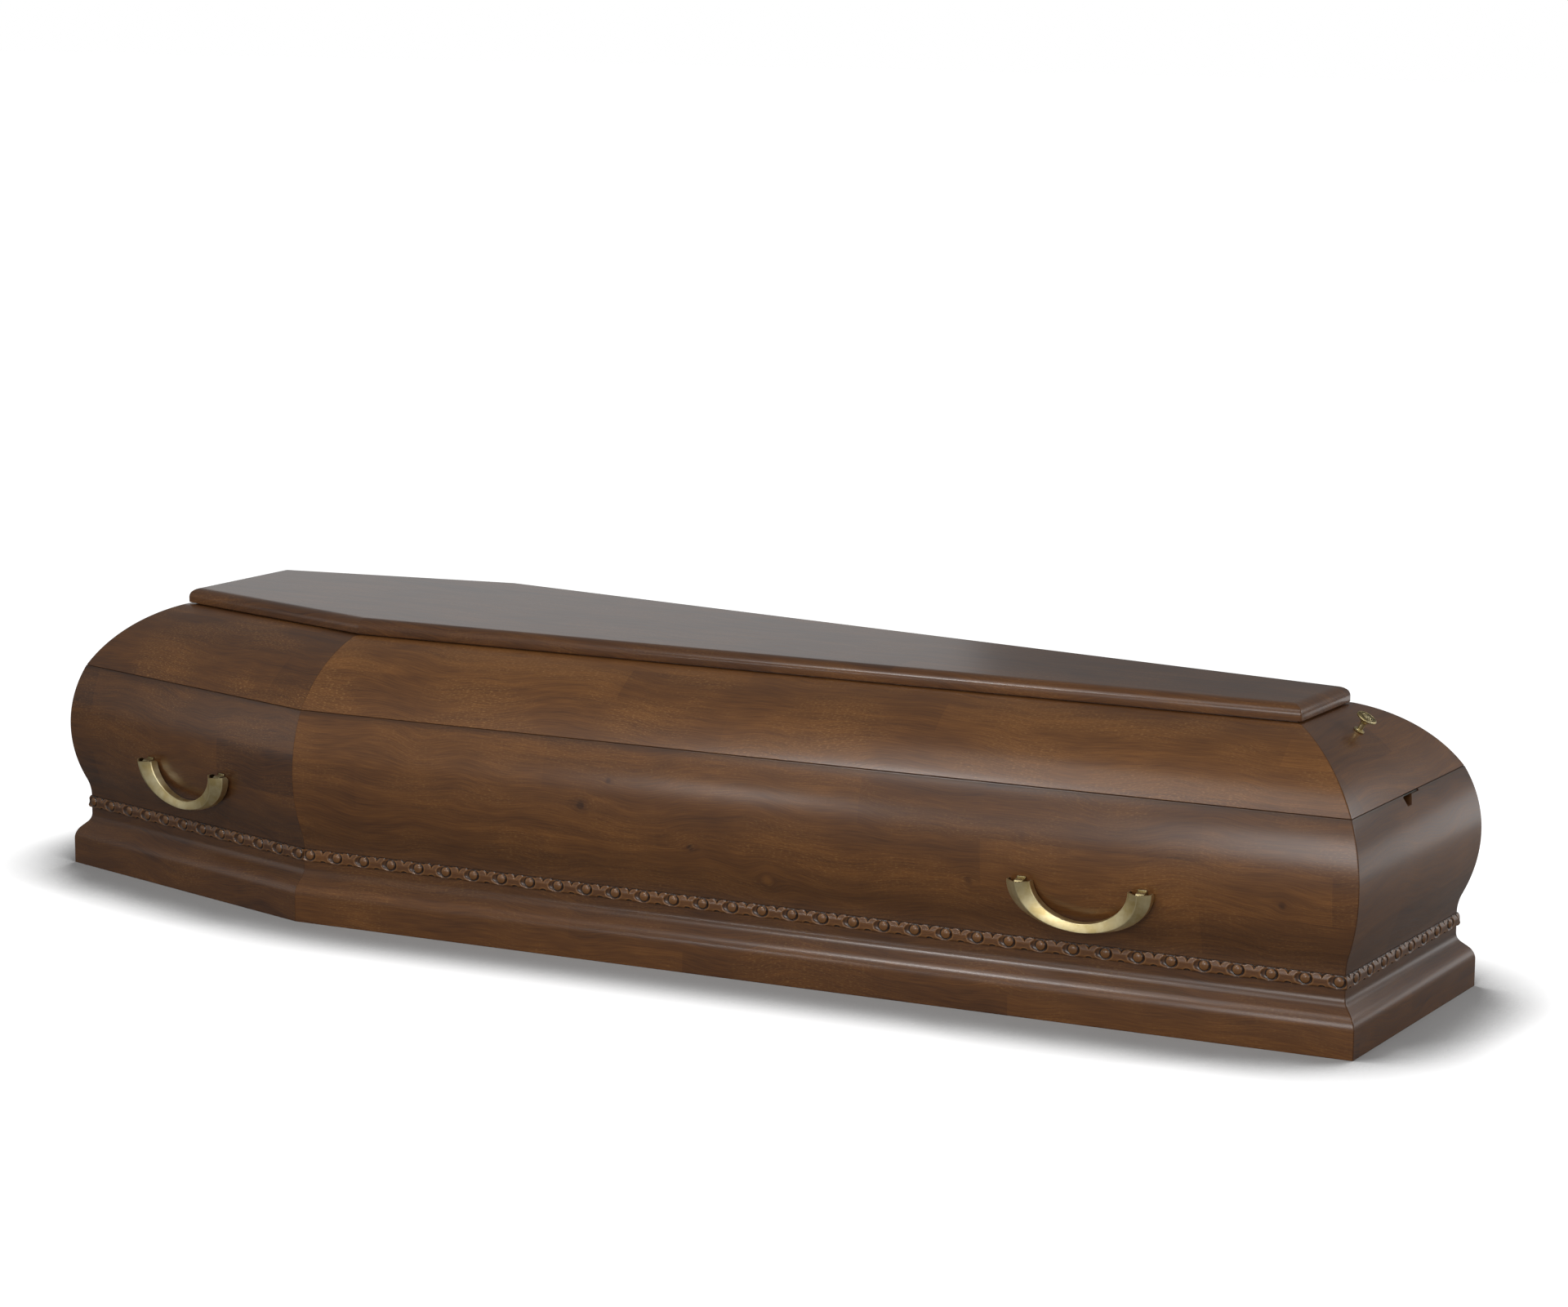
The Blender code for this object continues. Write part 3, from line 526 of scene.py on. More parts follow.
def carved_strip(side):
    """A closed bar whose front is a grid of heights. On a side the strip starts
    and ends with a bead, on an end with a slab's middle."""
    h0, h1 = HALF_TURN[side], HALF_TURN[(side + 1) % 6]
    face_start = STRIP_LEAF_INSET * tan(h0)
    face_length = LENGTHS[side] - face_start - STRIP_LEAF_INSET * tan(h1)
    count = round((face_length - 2 * STRIP_END_MARGIN) / STRIP_PITCH)
    pitch = (face_length - 2 * STRIP_END_MARGIN) / count
    columns = int(face_length / STRIP_CELL)
    share = np.linspace(0, 1, columns)
    z = np.linspace(-STRIP_HEIGHT / 2, STRIP_HEIGHT / 2, STRIP_ROWS)
    phase = 0.5 if SIDES[side] in ENDS else 0
    unit = (share * face_length - STRIP_END_MARGIN) / pitch + phase
    x = (unit - np.round(unit)) * STRIP_PITCH
    relief = strip_relief(*np.meshgrid(x, z, indexing="ij"))
    back = np.full((columns, 1), WALL_FOOT_INSET - GAP)
    inset = np.concatenate([STRIP_FLOOR_INSET - relief, back, back], axis=1)
    ring_z = np.concatenate([z, [z[-1], z[0]]]) + STRIP_LOW + STRIP_HEIGHT / 2
    start = inset * tan(h0) + GAP / 2 / cos(h0)
    end = LENGTHS[side] - inset * tan(h1) - GAP / 2 / cos(h1)
    centre = face_start + share[:, None] * face_length
    near_start, near_end = share[:, None] < 0.5, share[:, None] >= 0.5
    s = np.where(near_start, np.maximum(centre, start + share[:, None] * MITRE_SPREAD), centre)
    s = np.where(near_end, np.minimum(s, end - (1 - share[:, None]) * MITRE_SPREAD), s)
    points = placed(side, s, inset, np.broadcast_to(ring_z, s.shape))
    strip = tube("bead_strip_" + SIDES[side], points, along=s, shade=radians(50))
    # The carving's hollows get painted shade, and its ridges a lighter worn tone.
    depth = np.concatenate([cavity(relief), np.ones((columns, 2))], axis=1)
    paint(strip, "painted_shade_and_wear", depth.reshape(-1))
    return strip


strips = {name: carved_strip(side) for side, name in enumerate(SIDES)}
print("strips:", {name: triangles(o) for name, o in strips.items()})

# %% [markdown]
# ## Bail handles
#
# A bail is an arch that hangs on two lugs. These are cast brass: the outline is
# nearly an ellipse, outside and inside, and the front has a ridge that starts
# in the middle of each arm and runs out to the lower edge. Each end is hollow
# and takes a lug, with a pin across. The arch is a section carried round an
# angle, from one rim to the other. In the hollow ends the ring goes round the
# outside and comes back along the inside; in the solid part the way back is
# the flat back of the metal.

# %% Bail sizes and section
HEAD_HANDLE_FROM_HEAD, FOOT_HANDLE_FROM_SHOULDER = 0.2706, 1.1573
HEAD_PIVOT_HEIGHT, FOOT_PIVOT_HEIGHT = 0.1755, 0.173
PIVOT_FROM_WALL = 0.0085
BAIL_TOP = 0.0075
BAIL_HALF_WIDTH, BAIL_DROP, BAIL_OUTER_POWER = 0.0965, 0.059, 2.15
BAIL_INNER_HALF_WIDTH, BAIL_INNER_DROP, BAIL_INNER_POWER = 0.0645, 0.048, 1.9
BAIL_BACK, BAIL_BACK_RIM = 0.0055, 0.0020
BAIL_FRONT_END, BAIL_FRONT_LOW = 0.0055, 0.0040
BAIL_RIDGE_END, BAIL_RIDGE_LOW = 0.0165, 0.0075
BAIL_SHELL = 0.0024
BAIL_LEAN = radians(3.3)
SOCKET_END, SOCKET_STEP = 17, 0.05
PIN_RADIUS, PIN_END_GAP = 0.0025, 0.0012


def bail_corners(angle, shell=0.0):
    """The section's five corners (across, depth) for each angle round the arch,
    in order: outer back, outer front, ridge, inner front, inner back."""
    turn = np.radians(angle)
    low, side = np.abs(np.sin(turn)), -np.cos(turn)

    def edge(half_width, drop, power):
        return np.stack([half_width * np.abs(side) ** (2 / power) * np.sign(side),
                         BAIL_TOP - drop * low ** (2 / power)], -1)

    outer = edge(BAIL_HALF_WIDTH, BAIL_DROP, BAIL_OUTER_POWER)
    inner = edge(BAIL_INNER_HALF_WIDTH, BAIL_INNER_DROP, BAIL_INNER_POWER)
    width = np.linalg.norm(inner - outer, axis=-1)
    ridge_share = 0.5 * (1 - low ** 2) ** 0.6
    front = BAIL_FRONT_END + (BAIL_FRONT_LOW - BAIL_FRONT_END) * low
    ridge = BAIL_RIDGE_END + (BAIL_RIDGE_LOW - BAIL_RIDGE_END) * low
    back = BAIL_BACK_RIM + (BAIL_BACK - BAIL_BACK_RIM) * np.clip(low / sin(radians(3)), 0, 1)
    share = np.stack([shell / width, shell / width, ridge_share, 1 - shell / width, 1 - shell / width], -1)
    depth = np.stack([back, shell - front, shell - ridge, shell - front, back], -1)
    place = outer[:, None] + (inner - outer)[:, None] * share[..., None]
    return np.stack([place[..., 0], depth, place[..., 1]], -1)


def eased_path(corners, radii, per_edge=4):
    """Each path of corners with its inner corners eased: a quadratic curve from a
    little before the corner to a little after it, never past half the edge."""
    parts = [corners[:, :1]]
    for i in range(1, corners.shape[1] - 1):
        here = corners[:, i]
        t = np.linspace(0, 1, per_edge)[None, :, None]
        ends = []
        for other in (corners[:, i - 1], corners[:, i + 1]):
            way = other - here
            reach = np.linalg.norm(way, axis=1, keepdims=True)
            ends.append(here + way / reach * np.minimum(radii[i], reach * 0.45))
        parts.append((1 - t) ** 2 * ends[0][:, None] + 2 * t * (1 - t) * here[:, None]
                     + t ** 2 * ends[1][:, None])
    parts.append(corners[:, -1:])
    return np.concatenate(parts, axis=1)


# %% Bail mesh
BAIL_EASE = (0, 0.0014, 0.0011, 0.0014, 0)


def bail_points():
    """Rings from rim to rim. Ring by ring the way back is the socket's inside,
    or the straight back of the solid metal, reached at the socket's floor."""
    ends = np.concatenate([np.linspace(0, 3, 4), np.linspace(4.2, SOCKET_END, 8)])
    floor = SOCKET_END + SOCKET_STEP
    middle = np.linspace(floor, 180 - floor, 90)
    angle = np.concatenate([ends, middle, 180 - ends[::-1]])
    outer = eased_path(bail_corners(angle), BAIL_EASE)
    inside = eased_path(bail_corners(angle, BAIL_SHELL), BAIL_EASE)[:, ::-1]
    share = np.linspace(1, 0, inside.shape[1])[None, 1:-1, None]
    straight = outer[:, :1] + (outer[:, -1:] - outer[:, :1]) * share
    straight = np.concatenate([outer[:, -1:] * 0.98 + outer[:, :1] * 0.02, straight,
                               outer[:, :1] * 0.98 + outer[:, -1:] * 0.02], axis=1)
    solid = ((angle > SOCKET_END) & (angle < 180 - SOCKET_END))[:, None, None]
    return np.concatenate([outer, np.where(solid, straight, inside)], axis=1)


def bail_tarnish():
    """-1 along the middle of each eased edge, where hands rub the metal bright, 0
    on the flats and 0.9 inside the sockets and along the back."""
    tarnish_and_shade = np.zeros(bail_points().shape[:2])
    tarnish_and_shade[:, [2, 3, 6, 7, 10, 11]] = -1
    tarnish_and_shade[:, 14:] = 0.9
    return tarnish_and_shade.reshape(-1)


def wall_face_at(height):
    """Inset and slope of the belly's face at a height."""
    slope = asin((height - BELLY_HEIGHT) / BELLY_RADIUS)
    return BELLY_CENTRE_INSET - BELLY_RADIUS * cos(slope), slope


def hinge_frame(side, distance, height, lean):
    """Origin and axes on a handle's hinge: along the side, into the wall, up, with
    the last two leant about the first."""
    inset = wall_face_at(height)[0]
    place = CORNERS[side] + RUN[side] * distance + OUT[side] * (PIVOT_FROM_WALL - inset)
    x = np.array([*RUN[side], 0])
    y, z = np.array([*-OUT[side], 0]), np.array([0, 0, 1])
    axes = np.stack([x, y * cos(lean) + z * sin(lean), z * cos(lean) - y * sin(lean)])
    return np.array([*place, height]), axes


def in_frame(points, hinge):
    """Points in a frame's own axes, moved to their place in the room."""
    origin, axes = hinge
    return origin + points @ axes


HANDLES = {}
for name, distance, height in (("left_head", HEAD_HANDLE_FROM_HEAD, HEAD_PIVOT_HEIGHT),
                               ("left_foot", FOOT_HANDLE_FROM_SHOULDER, FOOT_PIVOT_HEIGHT)):
    side = SIDES.index(name)
    HANDLES[name] = (side, distance, height)
    far = SIDES.index(name.replace("left", "right"))
    HANDLES[name.replace("left", "right")] = (far, LENGTHS[far] - distance, height)
ARM_MIDDLE = (BAIL_HALF_WIDTH + BAIL_INNER_HALF_WIDTH) / 2


def rod(radius, start, end, sides=24):
    """Rings of a round bar along the hinge line, its ends eased by a fifth of its
    radius."""
    turn = np.linspace(0, 2 * pi, sides, endpoint=False)
    ease = radius * 0.2
    rings = [(start, radius - ease), (start + ease, radius), (end - ease, radius), (end, radius - ease)]
    return np.stack([np.insert(circle(r, turn), 0, x, axis=1) for x, r in rings])


bails, pins = {}, {}
for name, (side, distance, height) in HANDLES.items():
    hinge = hinge_frame(side, distance, height, BAIL_LEAN)
    bails[name] = tube("bail_" + name, in_frame(bail_points(), hinge), shade=radians(40))
    paint(bails[name], "tarnish_and_shade", bail_tarnish())
    half_pin = (BAIL_HALF_WIDTH - BAIL_INNER_HALF_WIDTH) / 2 - PIN_END_GAP
    for end, way in (("a", -1), ("b", 1)):
        centre = way * ARM_MIDDLE
        bar = rod(PIN_RADIUS, centre - half_pin, centre + half_pin)
        pins[name, end] = tube(f"pin_{name}_{end}", in_frame(bar, hinge))
print("bails:", {name: triangles(o) for name, o in bails.items()})

# %% [markdown]
# ## Lugs
#
# Each lug is a small casting: a plate that is screwed to the wall, and an eye
# that stands out from it and takes the pin. The eye is a thick outline with a
# hole, so its ring runs round the outside and the hole at once, and is carried
# across the lug's width with the edges eased.

# %% Lugs
LUG_WIDTH, LUG_PLATE = 0.012, 0.002
LUG_EYE_FRONT, LUG_EYE_UP, LUG_EYE_DOWN = 0.005, 0.0072, 0.0045
LUG_UPPER_CORNER, LUG_LOWER_CORNER = 0.003, 0.0018
LUG_PLATE_DOWN, LUG_PLATE_UP = 0.010, 0.009
LUG_HOLE = 0.0028
LUG_EASE, PLATE_EASE, PLATE_FACE_EASE = 0.0012, 0.0008, 0.0006
EYE_CHAMFER, CHAMFER_SHARE = 0.0005, 0.95


def eased_outline(corners, radius, per_corner=5):
    """A closed outline with every corner eased by a small quadratic curve."""
    corners = np.array(corners, float)
    parts = []
    for i in range(len(corners)):
        before, here, after = corners[i - 1], corners[i], corners[(i + 1) % len(corners)]
        reach = min(radius, 0.45 * min(np.linalg.norm(before - here), np.linalg.norm(after - here)))
        parts.append(rounded_edge(here, before, after, reach, per_corner))
    return np.concatenate(parts)


def slab(outline, low, high, ease):
    """Rings of an outline (y, z) carried along x, a little smaller at both faces."""
    centre = outline.mean(axis=0)
    size = np.abs(outline - centre).max()
    rings = []
    smaller = 1 - ease / size
    for x, share in ((low, smaller), (low + ease, 1), (high - ease, 1), (high, smaller)):
        rings.append(np.insert(centre + (outline - centre) * share, 0, x, axis=1))
    return np.stack(rings)


def eye_ring():
    """The eye's outline, then the hole's, in matching steps, as a ring of quads."""
    foot = PIVOT_FROM_WALL - GAP - LUG_PLATE / 2
    front = -LUG_EYE_FRONT
    corners = [(foot, -LUG_EYE_DOWN), (front + LUG_LOWER_CORNER, -LUG_EYE_DOWN),
               (front, LUG_LOWER_CORNER - LUG_EYE_DOWN), (front, LUG_EYE_UP - LUG_UPPER_CORNER),
               (front + LUG_UPPER_CORNER, LUG_EYE_UP), (foot, LUG_EYE_UP)]
    outline = eased_outline(corners, LUG_EASE, 6)
    return outline, circle(LUG_HOLE, np.arctan2(outline[:, 1], outline[:, 0]))


def lug_eye(name, hinge, centre):
    """A closed body with a hole: six loops (the hole, the smaller and the full outline
    on the left, and the same on the right) joined by quads all round."""
    outline, hole = eye_ring()
    m, half = len(outline), LUG_WIDTH / 2
    loops = []
    eased = half - EYE_CHAMFER
    for x, ring, share in ((-half, hole, 1), (-half, outline, CHAMFER_SHARE), (-eased, outline, 1),
                           (eased, outline, 1), (half, outline, CHAMFER_SHARE), (half, hole, 1)):
        loops.append(np.insert(ring * share, 0, centre + x, axis=1))
    points = in_frame(np.concatenate(loops), hinge)
    j, i = np.meshgrid(np.arange(len(loops)), np.arange(m), indexing="ij")
    return mesh_piece(name, points, [ring_quads(j, i, len(loops), m)])


lugs = {}
plate_back = PIVOT_FROM_WALL - GAP
plate_face = plate_back - LUG_PLATE
plate_outline = [(plate_back, -LUG_PLATE_DOWN), (plate_face, -LUG_PLATE_DOWN),
                 (plate_face, LUG_PLATE_UP), (plate_back, LUG_PLATE_UP)]
for name, (side, distance, height) in HANDLES.items():
    hinge = hinge_frame(side, distance, height, -wall_face_at(height)[1])
    for end, way in (("a", -1), ("b", 1)):
        centre = way * ARM_MIDDLE
        plate = slab(eased_outline(plate_outline, PLATE_EASE), centre - LUG_WIDTH / 2,
                     centre + LUG_WIDTH / 2, PLATE_FACE_EASE)
        lugs[name, end] = [tube(f"lug_plate_{name}_{end}", in_frame(plate, hinge)),
                           lug_eye(f"lug_eye_{name}_{end}", hinge, centre)]
print("lugs:", len(lugs) * 2, "pieces")

# %% [markdown]
# ## Closing screws
#
# A brass screw holds the lid down at each end. It is turned on a lathe: a
# flange on the wood, a stem, and a wide head with a raised rim. The head's
# face is cast with a ring of small beads and a rosette. A lathe's work is a
# profile turned about an axis. The face adds a height that also depends on the
# angle, so the grid is radius by angle.

# %% Closing screws
SCREW_INSET = 0.0895
SCREW_SHAFT_RADIUS, SCREW_DEPTH = 0.0030, 0.014
SCREW_FLANGE_RADIUS, SCREW_FLANGE = 0.0072, 0.0020
SCREW_STEM_RADIUS, SCREW_STEM = 0.0040, 0.0155
SCREW_HEAD_RADIUS, SCREW_HEAD_LOW, SCREW_HEAD_TOP = 0.0135, 0.0185, 0.0222
PETALS, RIM_BEADS = 8, 32
FACE_SHARE, FACE_SUNK, FACE_RINGS = 0.82, 0.0009, 40
FACE_RELIEF, HANDLED = 0.0004, 0.3
TURN_STEPS = 128


def screw_profile():
    """Radius and height from the shaft's tip up to the head's rim."""
    flange = np.array([(SCREW_SHAFT_RADIUS * 0.5, -SCREW_DEPTH), (SCREW_SHAFT_RADIUS, -SCREW_DEPTH + 0.002),
                       (SCREW_SHAFT_RADIUS, GAP), (SCREW_FLANGE_RADIUS - 0.0003, GAP),
                       (SCREW_FLANGE_RADIUS, GAP + 0.0004), (SCREW_FLANGE_RADIUS, SCREW_FLANGE - 0.0003),
                       (SCREW_FLANGE_RADIUS - 0.0008, SCREW_FLANGE), (0.0052, SCREW_FLANGE + 0.0001),
                       (0.0048, SCREW_FLANGE + 0.0009), (0.0034, SCREW_FLANGE + 0.0013)])
    t = np.linspace(0, 1, 10)
    foot = 0.0036
    stem = np.stack([SCREW_STEM_RADIUS * (0.86 + 0.12 * t) + 0.0030 * t ** 6,
                     foot + (SCREW_STEM - foot) * t], 1)
    under = np.array([(0.0085, SCREW_STEM + 0.0014), (0.0115, SCREW_HEAD_LOW)])
    turn = np.linspace(-pi / 2, pi / 2, 9)
    edge = (SCREW_HEAD_TOP - SCREW_HEAD_LOW) / 2
    rim = circle(edge, turn) + (SCREW_HEAD_RADIUS - edge, SCREW_HEAD_LOW + edge)
    return np.concatenate([flange, stem, under, rim])


def head_relief(radius, turn):
    """Height over the sunk face: a ring of beads near the rim, a plain ring, and
    petals whose outline is a cosine of the angle, with a boss in the middle."""
    share = radius / (SCREW_HEAD_RADIUS * FACE_SHARE)
    beads = 0.00045 * np.exp(-((share - 0.86) / 0.07) ** 2) * (0.55 + 0.45 * np.cos(RIM_BEADS * turn))
    ring = 0.00040 * np.exp(-((share - 0.66) / 0.035) ** 2)
    leaf = np.abs(np.cos(PETALS / 2 * turn))
    petals = 0.0006 * soft_step(0.34 + 0.18 * leaf - share, 0.05) * (0.6 + 0.4 * leaf)
    boss = 0.0007 * np.sqrt(np.clip(1 - (share / 0.15) ** 2, 0, 1))
    return np.maximum(beads + ring + petals, boss)


def screw_rings():
    """The turned profile, then rings of the head's face from the rim inwards."""
    turn = np.linspace(0, 2 * pi, TURN_STEPS, endpoint=False)
    radius = SCREW_HEAD_RADIUS * np.linspace(FACE_SHARE, 0.02, FACE_RINGS)
    face = np.stack([radius, np.full(FACE_RINGS, SCREW_HEAD_TOP - FACE_SUNK)], 1)
    profile = np.concatenate([screw_profile(), face])
    r, z = (np.repeat(column[:, None], TURN_STEPS, axis=1) for column in profile.T)
    z[-FACE_RINGS:] += head_relief(r[-FACE_RINGS:], turn)
    return np.stack([r * np.cos(turn), r * np.sin(turn), z], axis=-1)


def lid_height_at(inset):
    """Height of the lid's curved face at an inset."""
    return LID_CENTRE[1] + (LID_RADIUS ** 2 - (LID_CENTRE[0] - inset) ** 2) ** 0.5


def screw_frame(side):
    """Origin on the lid's face in the middle of an end, and axes: along the end,
    up the slope, and square to the wood."""
    height = lid_height_at(SCREW_INSET)
    slope = asin((height - LID_CENTRE[1]) / LID_RADIUS)
    place = CORNERS[side] + RUN[side] * LENGTHS[side] / 2 - OUT[side] * SCREW_INSET
    x = np.array([*RUN[side], 0])
    z = np.array([*(OUT[side] * cos(slope)), sin(slope)])
    return np.array([*place, height]), np.stack([x, np.cross(z, x), z])


def screw_tarnish(rings):
    """1 in the face's hollows, falling to 0 at 0.4 mm over them, and 0.3 elsewhere."""
    tarnish_and_shade = np.full(rings.shape[:2], HANDLED)
    over = rings[-FACE_RINGS:, :, 2] - SCREW_HEAD_TOP + FACE_SUNK
    tarnish_and_shade[-FACE_RINGS:] = np.clip(1 - over / FACE_RELIEF, 0, 1)
    return tarnish_and_shade.reshape(-1)


screws, rings = {}, screw_rings()
for name in ENDS:
    points = in_frame(rings, screw_frame(SIDES.index(name)))
    screws[name] = tube("closing_screw_" + name, points, shade=radians(45))
    paint(screws[name], "tarnish_and_shade", screw_tarnish(rings))
print("screws:", {name: triangles(o) for name, o in screws.items()})

# %% [markdown]
# ## Cuts in the end walls
#
# A steel nut plate lies in a slot under the rim at each end, with a notch in
# the wood below it, and the screw's shaft goes through the lid. Such cuts could
# be modelled into the section, but they cross it, so they are cut out with a
# Boolean, and its result is kept as a plain mesh.

# %% Cut the end pieces
NUT_PLATE_WIDTH, NUT_PLATE_THICKNESS, NUT_PLATE_DEPTH = 0.050, 0.0015, 0.015
NUT_PLATE_SETBACK, NUT_PLATE_BELOW_SPLIT = 0.0015, 0.0013
NOTCH_TOP, NOTCH_FOOT, NOTCH_FALL = (-0.0265, 0.002), (-0.0215, -0.0085), 0.0115
NOTCH_DEPTH_IN_WALL = 0.0115


def end_block(name, side, outline, front, back):
    """An outline of (across, height) points carried in square to an end's face."""
    outline = np.array(outline)
    s = np.broadcast_to(LENGTHS[side] / 2 + outline[:, 0], (2, len(outline)))
    inset = np.array([[front], [back]]) + np.zeros(len(outline))
    height = np.broadcast_to(outline[:, 1], s.shape)
    return tube(name, placed(side, s, inset, height))


def cut(target, cutter):
    """Takes the cutter out of the target's mesh, and removes the cutter."""
    modifier = target.modifiers.new("cut", "BOOLEAN")
    modifier.operation = "DIFFERENCE"
    modifier.object = cutter
    shape = target.evaluated_get(bpy.context.evaluated_depsgraph_get())
    cut_mesh = bpy.data.meshes.new_from_object(shape)
    cut_mesh.set_sharp_from_angle(angle=SMOOTH_ANGLE)
    target.modifiers.clear()
    target.data = cut_mesh
    bpy.data.objects.remove(cutter)


for name in ENDS:
    side = SIDES.index(name)
    top = SPLIT_HEIGHT - NUT_PLATE_BELOW_SPLIT
    low, half = top - NUT_PLATE_THICKNESS, NUT_PLATE_WIDTH / 2 + GAP
    front = wall_face_at(top)[0] + NUT_PLATE_SETBACK
    under, over, foot = low - GAP, SPLIT_HEIGHT + ARRIS, low - NOTCH_FALL
    seat = [(-half, under), (half, under), (half, over), (-half, over)]
    notch = [(NOTCH_FOOT[0], foot), (NOTCH_FOOT[1], foot), (NOTCH_TOP[1], low), (NOTCH_TOP[0], low)]
    cut(walls[name], end_block("seat", side, seat, -ARRIS, front + NUT_PLATE_DEPTH + GAP))
    cut(walls[name], end_block("notch", side, notch, -ARRIS, front + NOTCH_DEPTH_IN_WALL))
    origin, axes = screw_frame(side)
    shaft = rod(SCREW_SHAFT_RADIUS + GAP, -SCREW_DEPTH, SCREW_DEPTH, 32)[..., [1, 2, 0]]
    cut(lids[name], tube("shaft_hole", origin + shaft @ axes))
print("cut:", [len(walls[name].data.polygons) for name in ENDS], "faces in the end walls")

# %% [markdown]
# ## Colours and nodes
#
# Colours are written as the hex values that a picture shows, and turned to the
# linear values that light is computed with. One function adds a shader node,
# sets or links its inputs, makes its settings and hands back one output, so a
# material reads as a chain of named steps.

# %% Colour and node helpers
def colour(hex_value):
    """Linear RGBA of an sRGB hex colour."""
    parts = np.array([int(hex_value[i:i + 2], 16) for i in (1, 3, 5)]) / 255
    linear = np.where(parts <= 0.04045, parts / 12.92, ((parts + 0.055) / 1.055) ** 2.4)
    return (*linear.tolist(), 1)


def feed(tree, node, inputs):
    """Sets a node's inputs, or links them where they are other nodes' outputs. They
    are named in a dict, or stand in the node's own order in a tuple: a map range's
    are the value, the range it has, from and to, and the range it gets."""
    for name, value in inputs.items() if isinstance(inputs, dict) else enumerate(inputs):
        if isinstance(value, bpy.types.NodeSocket):
            tree.links.new(value, node.inputs[name])
        else:
            node.inputs[name].default_value = value


def add(tree, kind, inputs=(), out=0, stops=(), **settings):
    """An output of a new node, with its settings, its inputs and, on a colour ramp,
    its stops: pairs of a place and a hex colour, in rising order."""
    made = tree.nodes.new("ShaderNode" + kind)
    for name, value in settings.items():
        setattr(made, name, value)
    feed(tree, made, inputs)
    if stops:
        elements = made.color_ramp.elements
        elements.remove(elements[-1])
        elements[0].position = stops[0][0]
        for place, _ in stops[1:]:
            elements.new(place)
        for element, (_, hex_value) in zip(elements, stops):
            element.color = colour(hex_value)
    return made.outputs[out]


def new_material(name):
    made = bpy.data.materials.new(name)
    made.use_nodes = True
    return made, made.node_tree, made.node_tree.nodes["Principled BSDF"]


# %% [markdown]
# ## Walnut-stained beech
#
# The panels are glued up from finger-jointed staves, shaped, stained walnut and
# sprayed with satin lacquer. The eye sees five things: staves of slightly
# different tone, long growth lines that bend round a knot here and there, short
# pale flecks in patches where the pores took less stain, painted shade in hollows
# with wear rubbed off edges, and the soft sheen of the lacquer. Each pattern lies in
# the grain's UV map, whose units are metres, so the sizes are real. Every piece
# gets its own stretch of wood through an offset.

# %% Stained wood
STAVE_LENGTH, STAVE_WIDTH = 0.46, 0.062
FIGURE_LENGTH, FIGURE_WIDTH = 0.30, 0.011
STREAK_LENGTH, STREAK_WIDTH = 0.040, 0.0016
BLOTCH_LENGTH, BLOTCH_WIDTH = 0.13, 0.06
# Real pores are a tenth of a millimetre wide, and would not show in the render.
PORE_LENGTH, PORE_WIDTH = 0.0060, 0.0008
BENDS_PER_METRE, BEND_ACROSS = 6.0, 0.05
STAIN = [(0.0, "#412717"), (0.5, "#68411f"), (1.0, "#8c5b2b")]
STAIN_SPREAD = 0.28
# The last colour is painted shade, for hollows and under the lid's edge.
PALE_PORE, RUBBED_WOOD, PAINTED_SHADE_COLOUR = "#a87a46", "#9a6c3c", "#150b07"


def stretched_noise(tree, place, length, width, detail, distortion=0.0):
    """2-D noise whose features are about length by width metres."""
    scaled = add(tree, "Mapping", {"Vector": place, "Scale": (1 / length, 1 / width, 1)})
    look = {"Vector": scaled, "Scale": 1.0, "Detail": detail, "Distortion": distortion}
    return add(tree, "TexNoise", look, noise_dimensions="2D")


def weighted_sum(tree, *terms):
    """Sum of (value, weight) pairs."""
    total = 0.0
    for value, weight in terms:
        total = add(tree, "Math", (value, weight, total), operation="MULTIPLY_ADD")
    return total


def knots_in(tree, grain, place, knots):
    """Growth lines bend round each knot, and its eye is dark, or pale for a plug:
    the place is pulled towards the knot by a share that falls to 0 at five radii,
    the eye fades out from 0.4 to 1.3 radii, and its halo at four."""
    shade = 0.0
    for along, across, radius, depth in knots:
        away = add(tree, "VectorMath", (grain, (along, across, 0)), operation="SUBTRACT")
        far = add(tree, "VectorMath", (away,), "Value", operation="LENGTH")
        near = add(tree, "MapRange", (far, 0, radius * 5, -0.7, 0), interpolation_type="SMOOTHSTEP")
        pull = add(tree, "VectorMath", {0: away, "Scale": near}, operation="SCALE")
        place = add(tree, "VectorMath", (place, pull), operation="ADD")
        eye = add(tree, "MapRange", (far, radius * 0.4, radius * 1.3, depth, 0))
        halo = add(tree, "MapRange", (far, 0, radius * 4, abs(depth) * 0.4, 0),
                   interpolation_type="SMOOTHSTEP")
        shade = weighted_sum(tree, (eye, 1), (halo, 1), (shade, 1))
    return place, shade


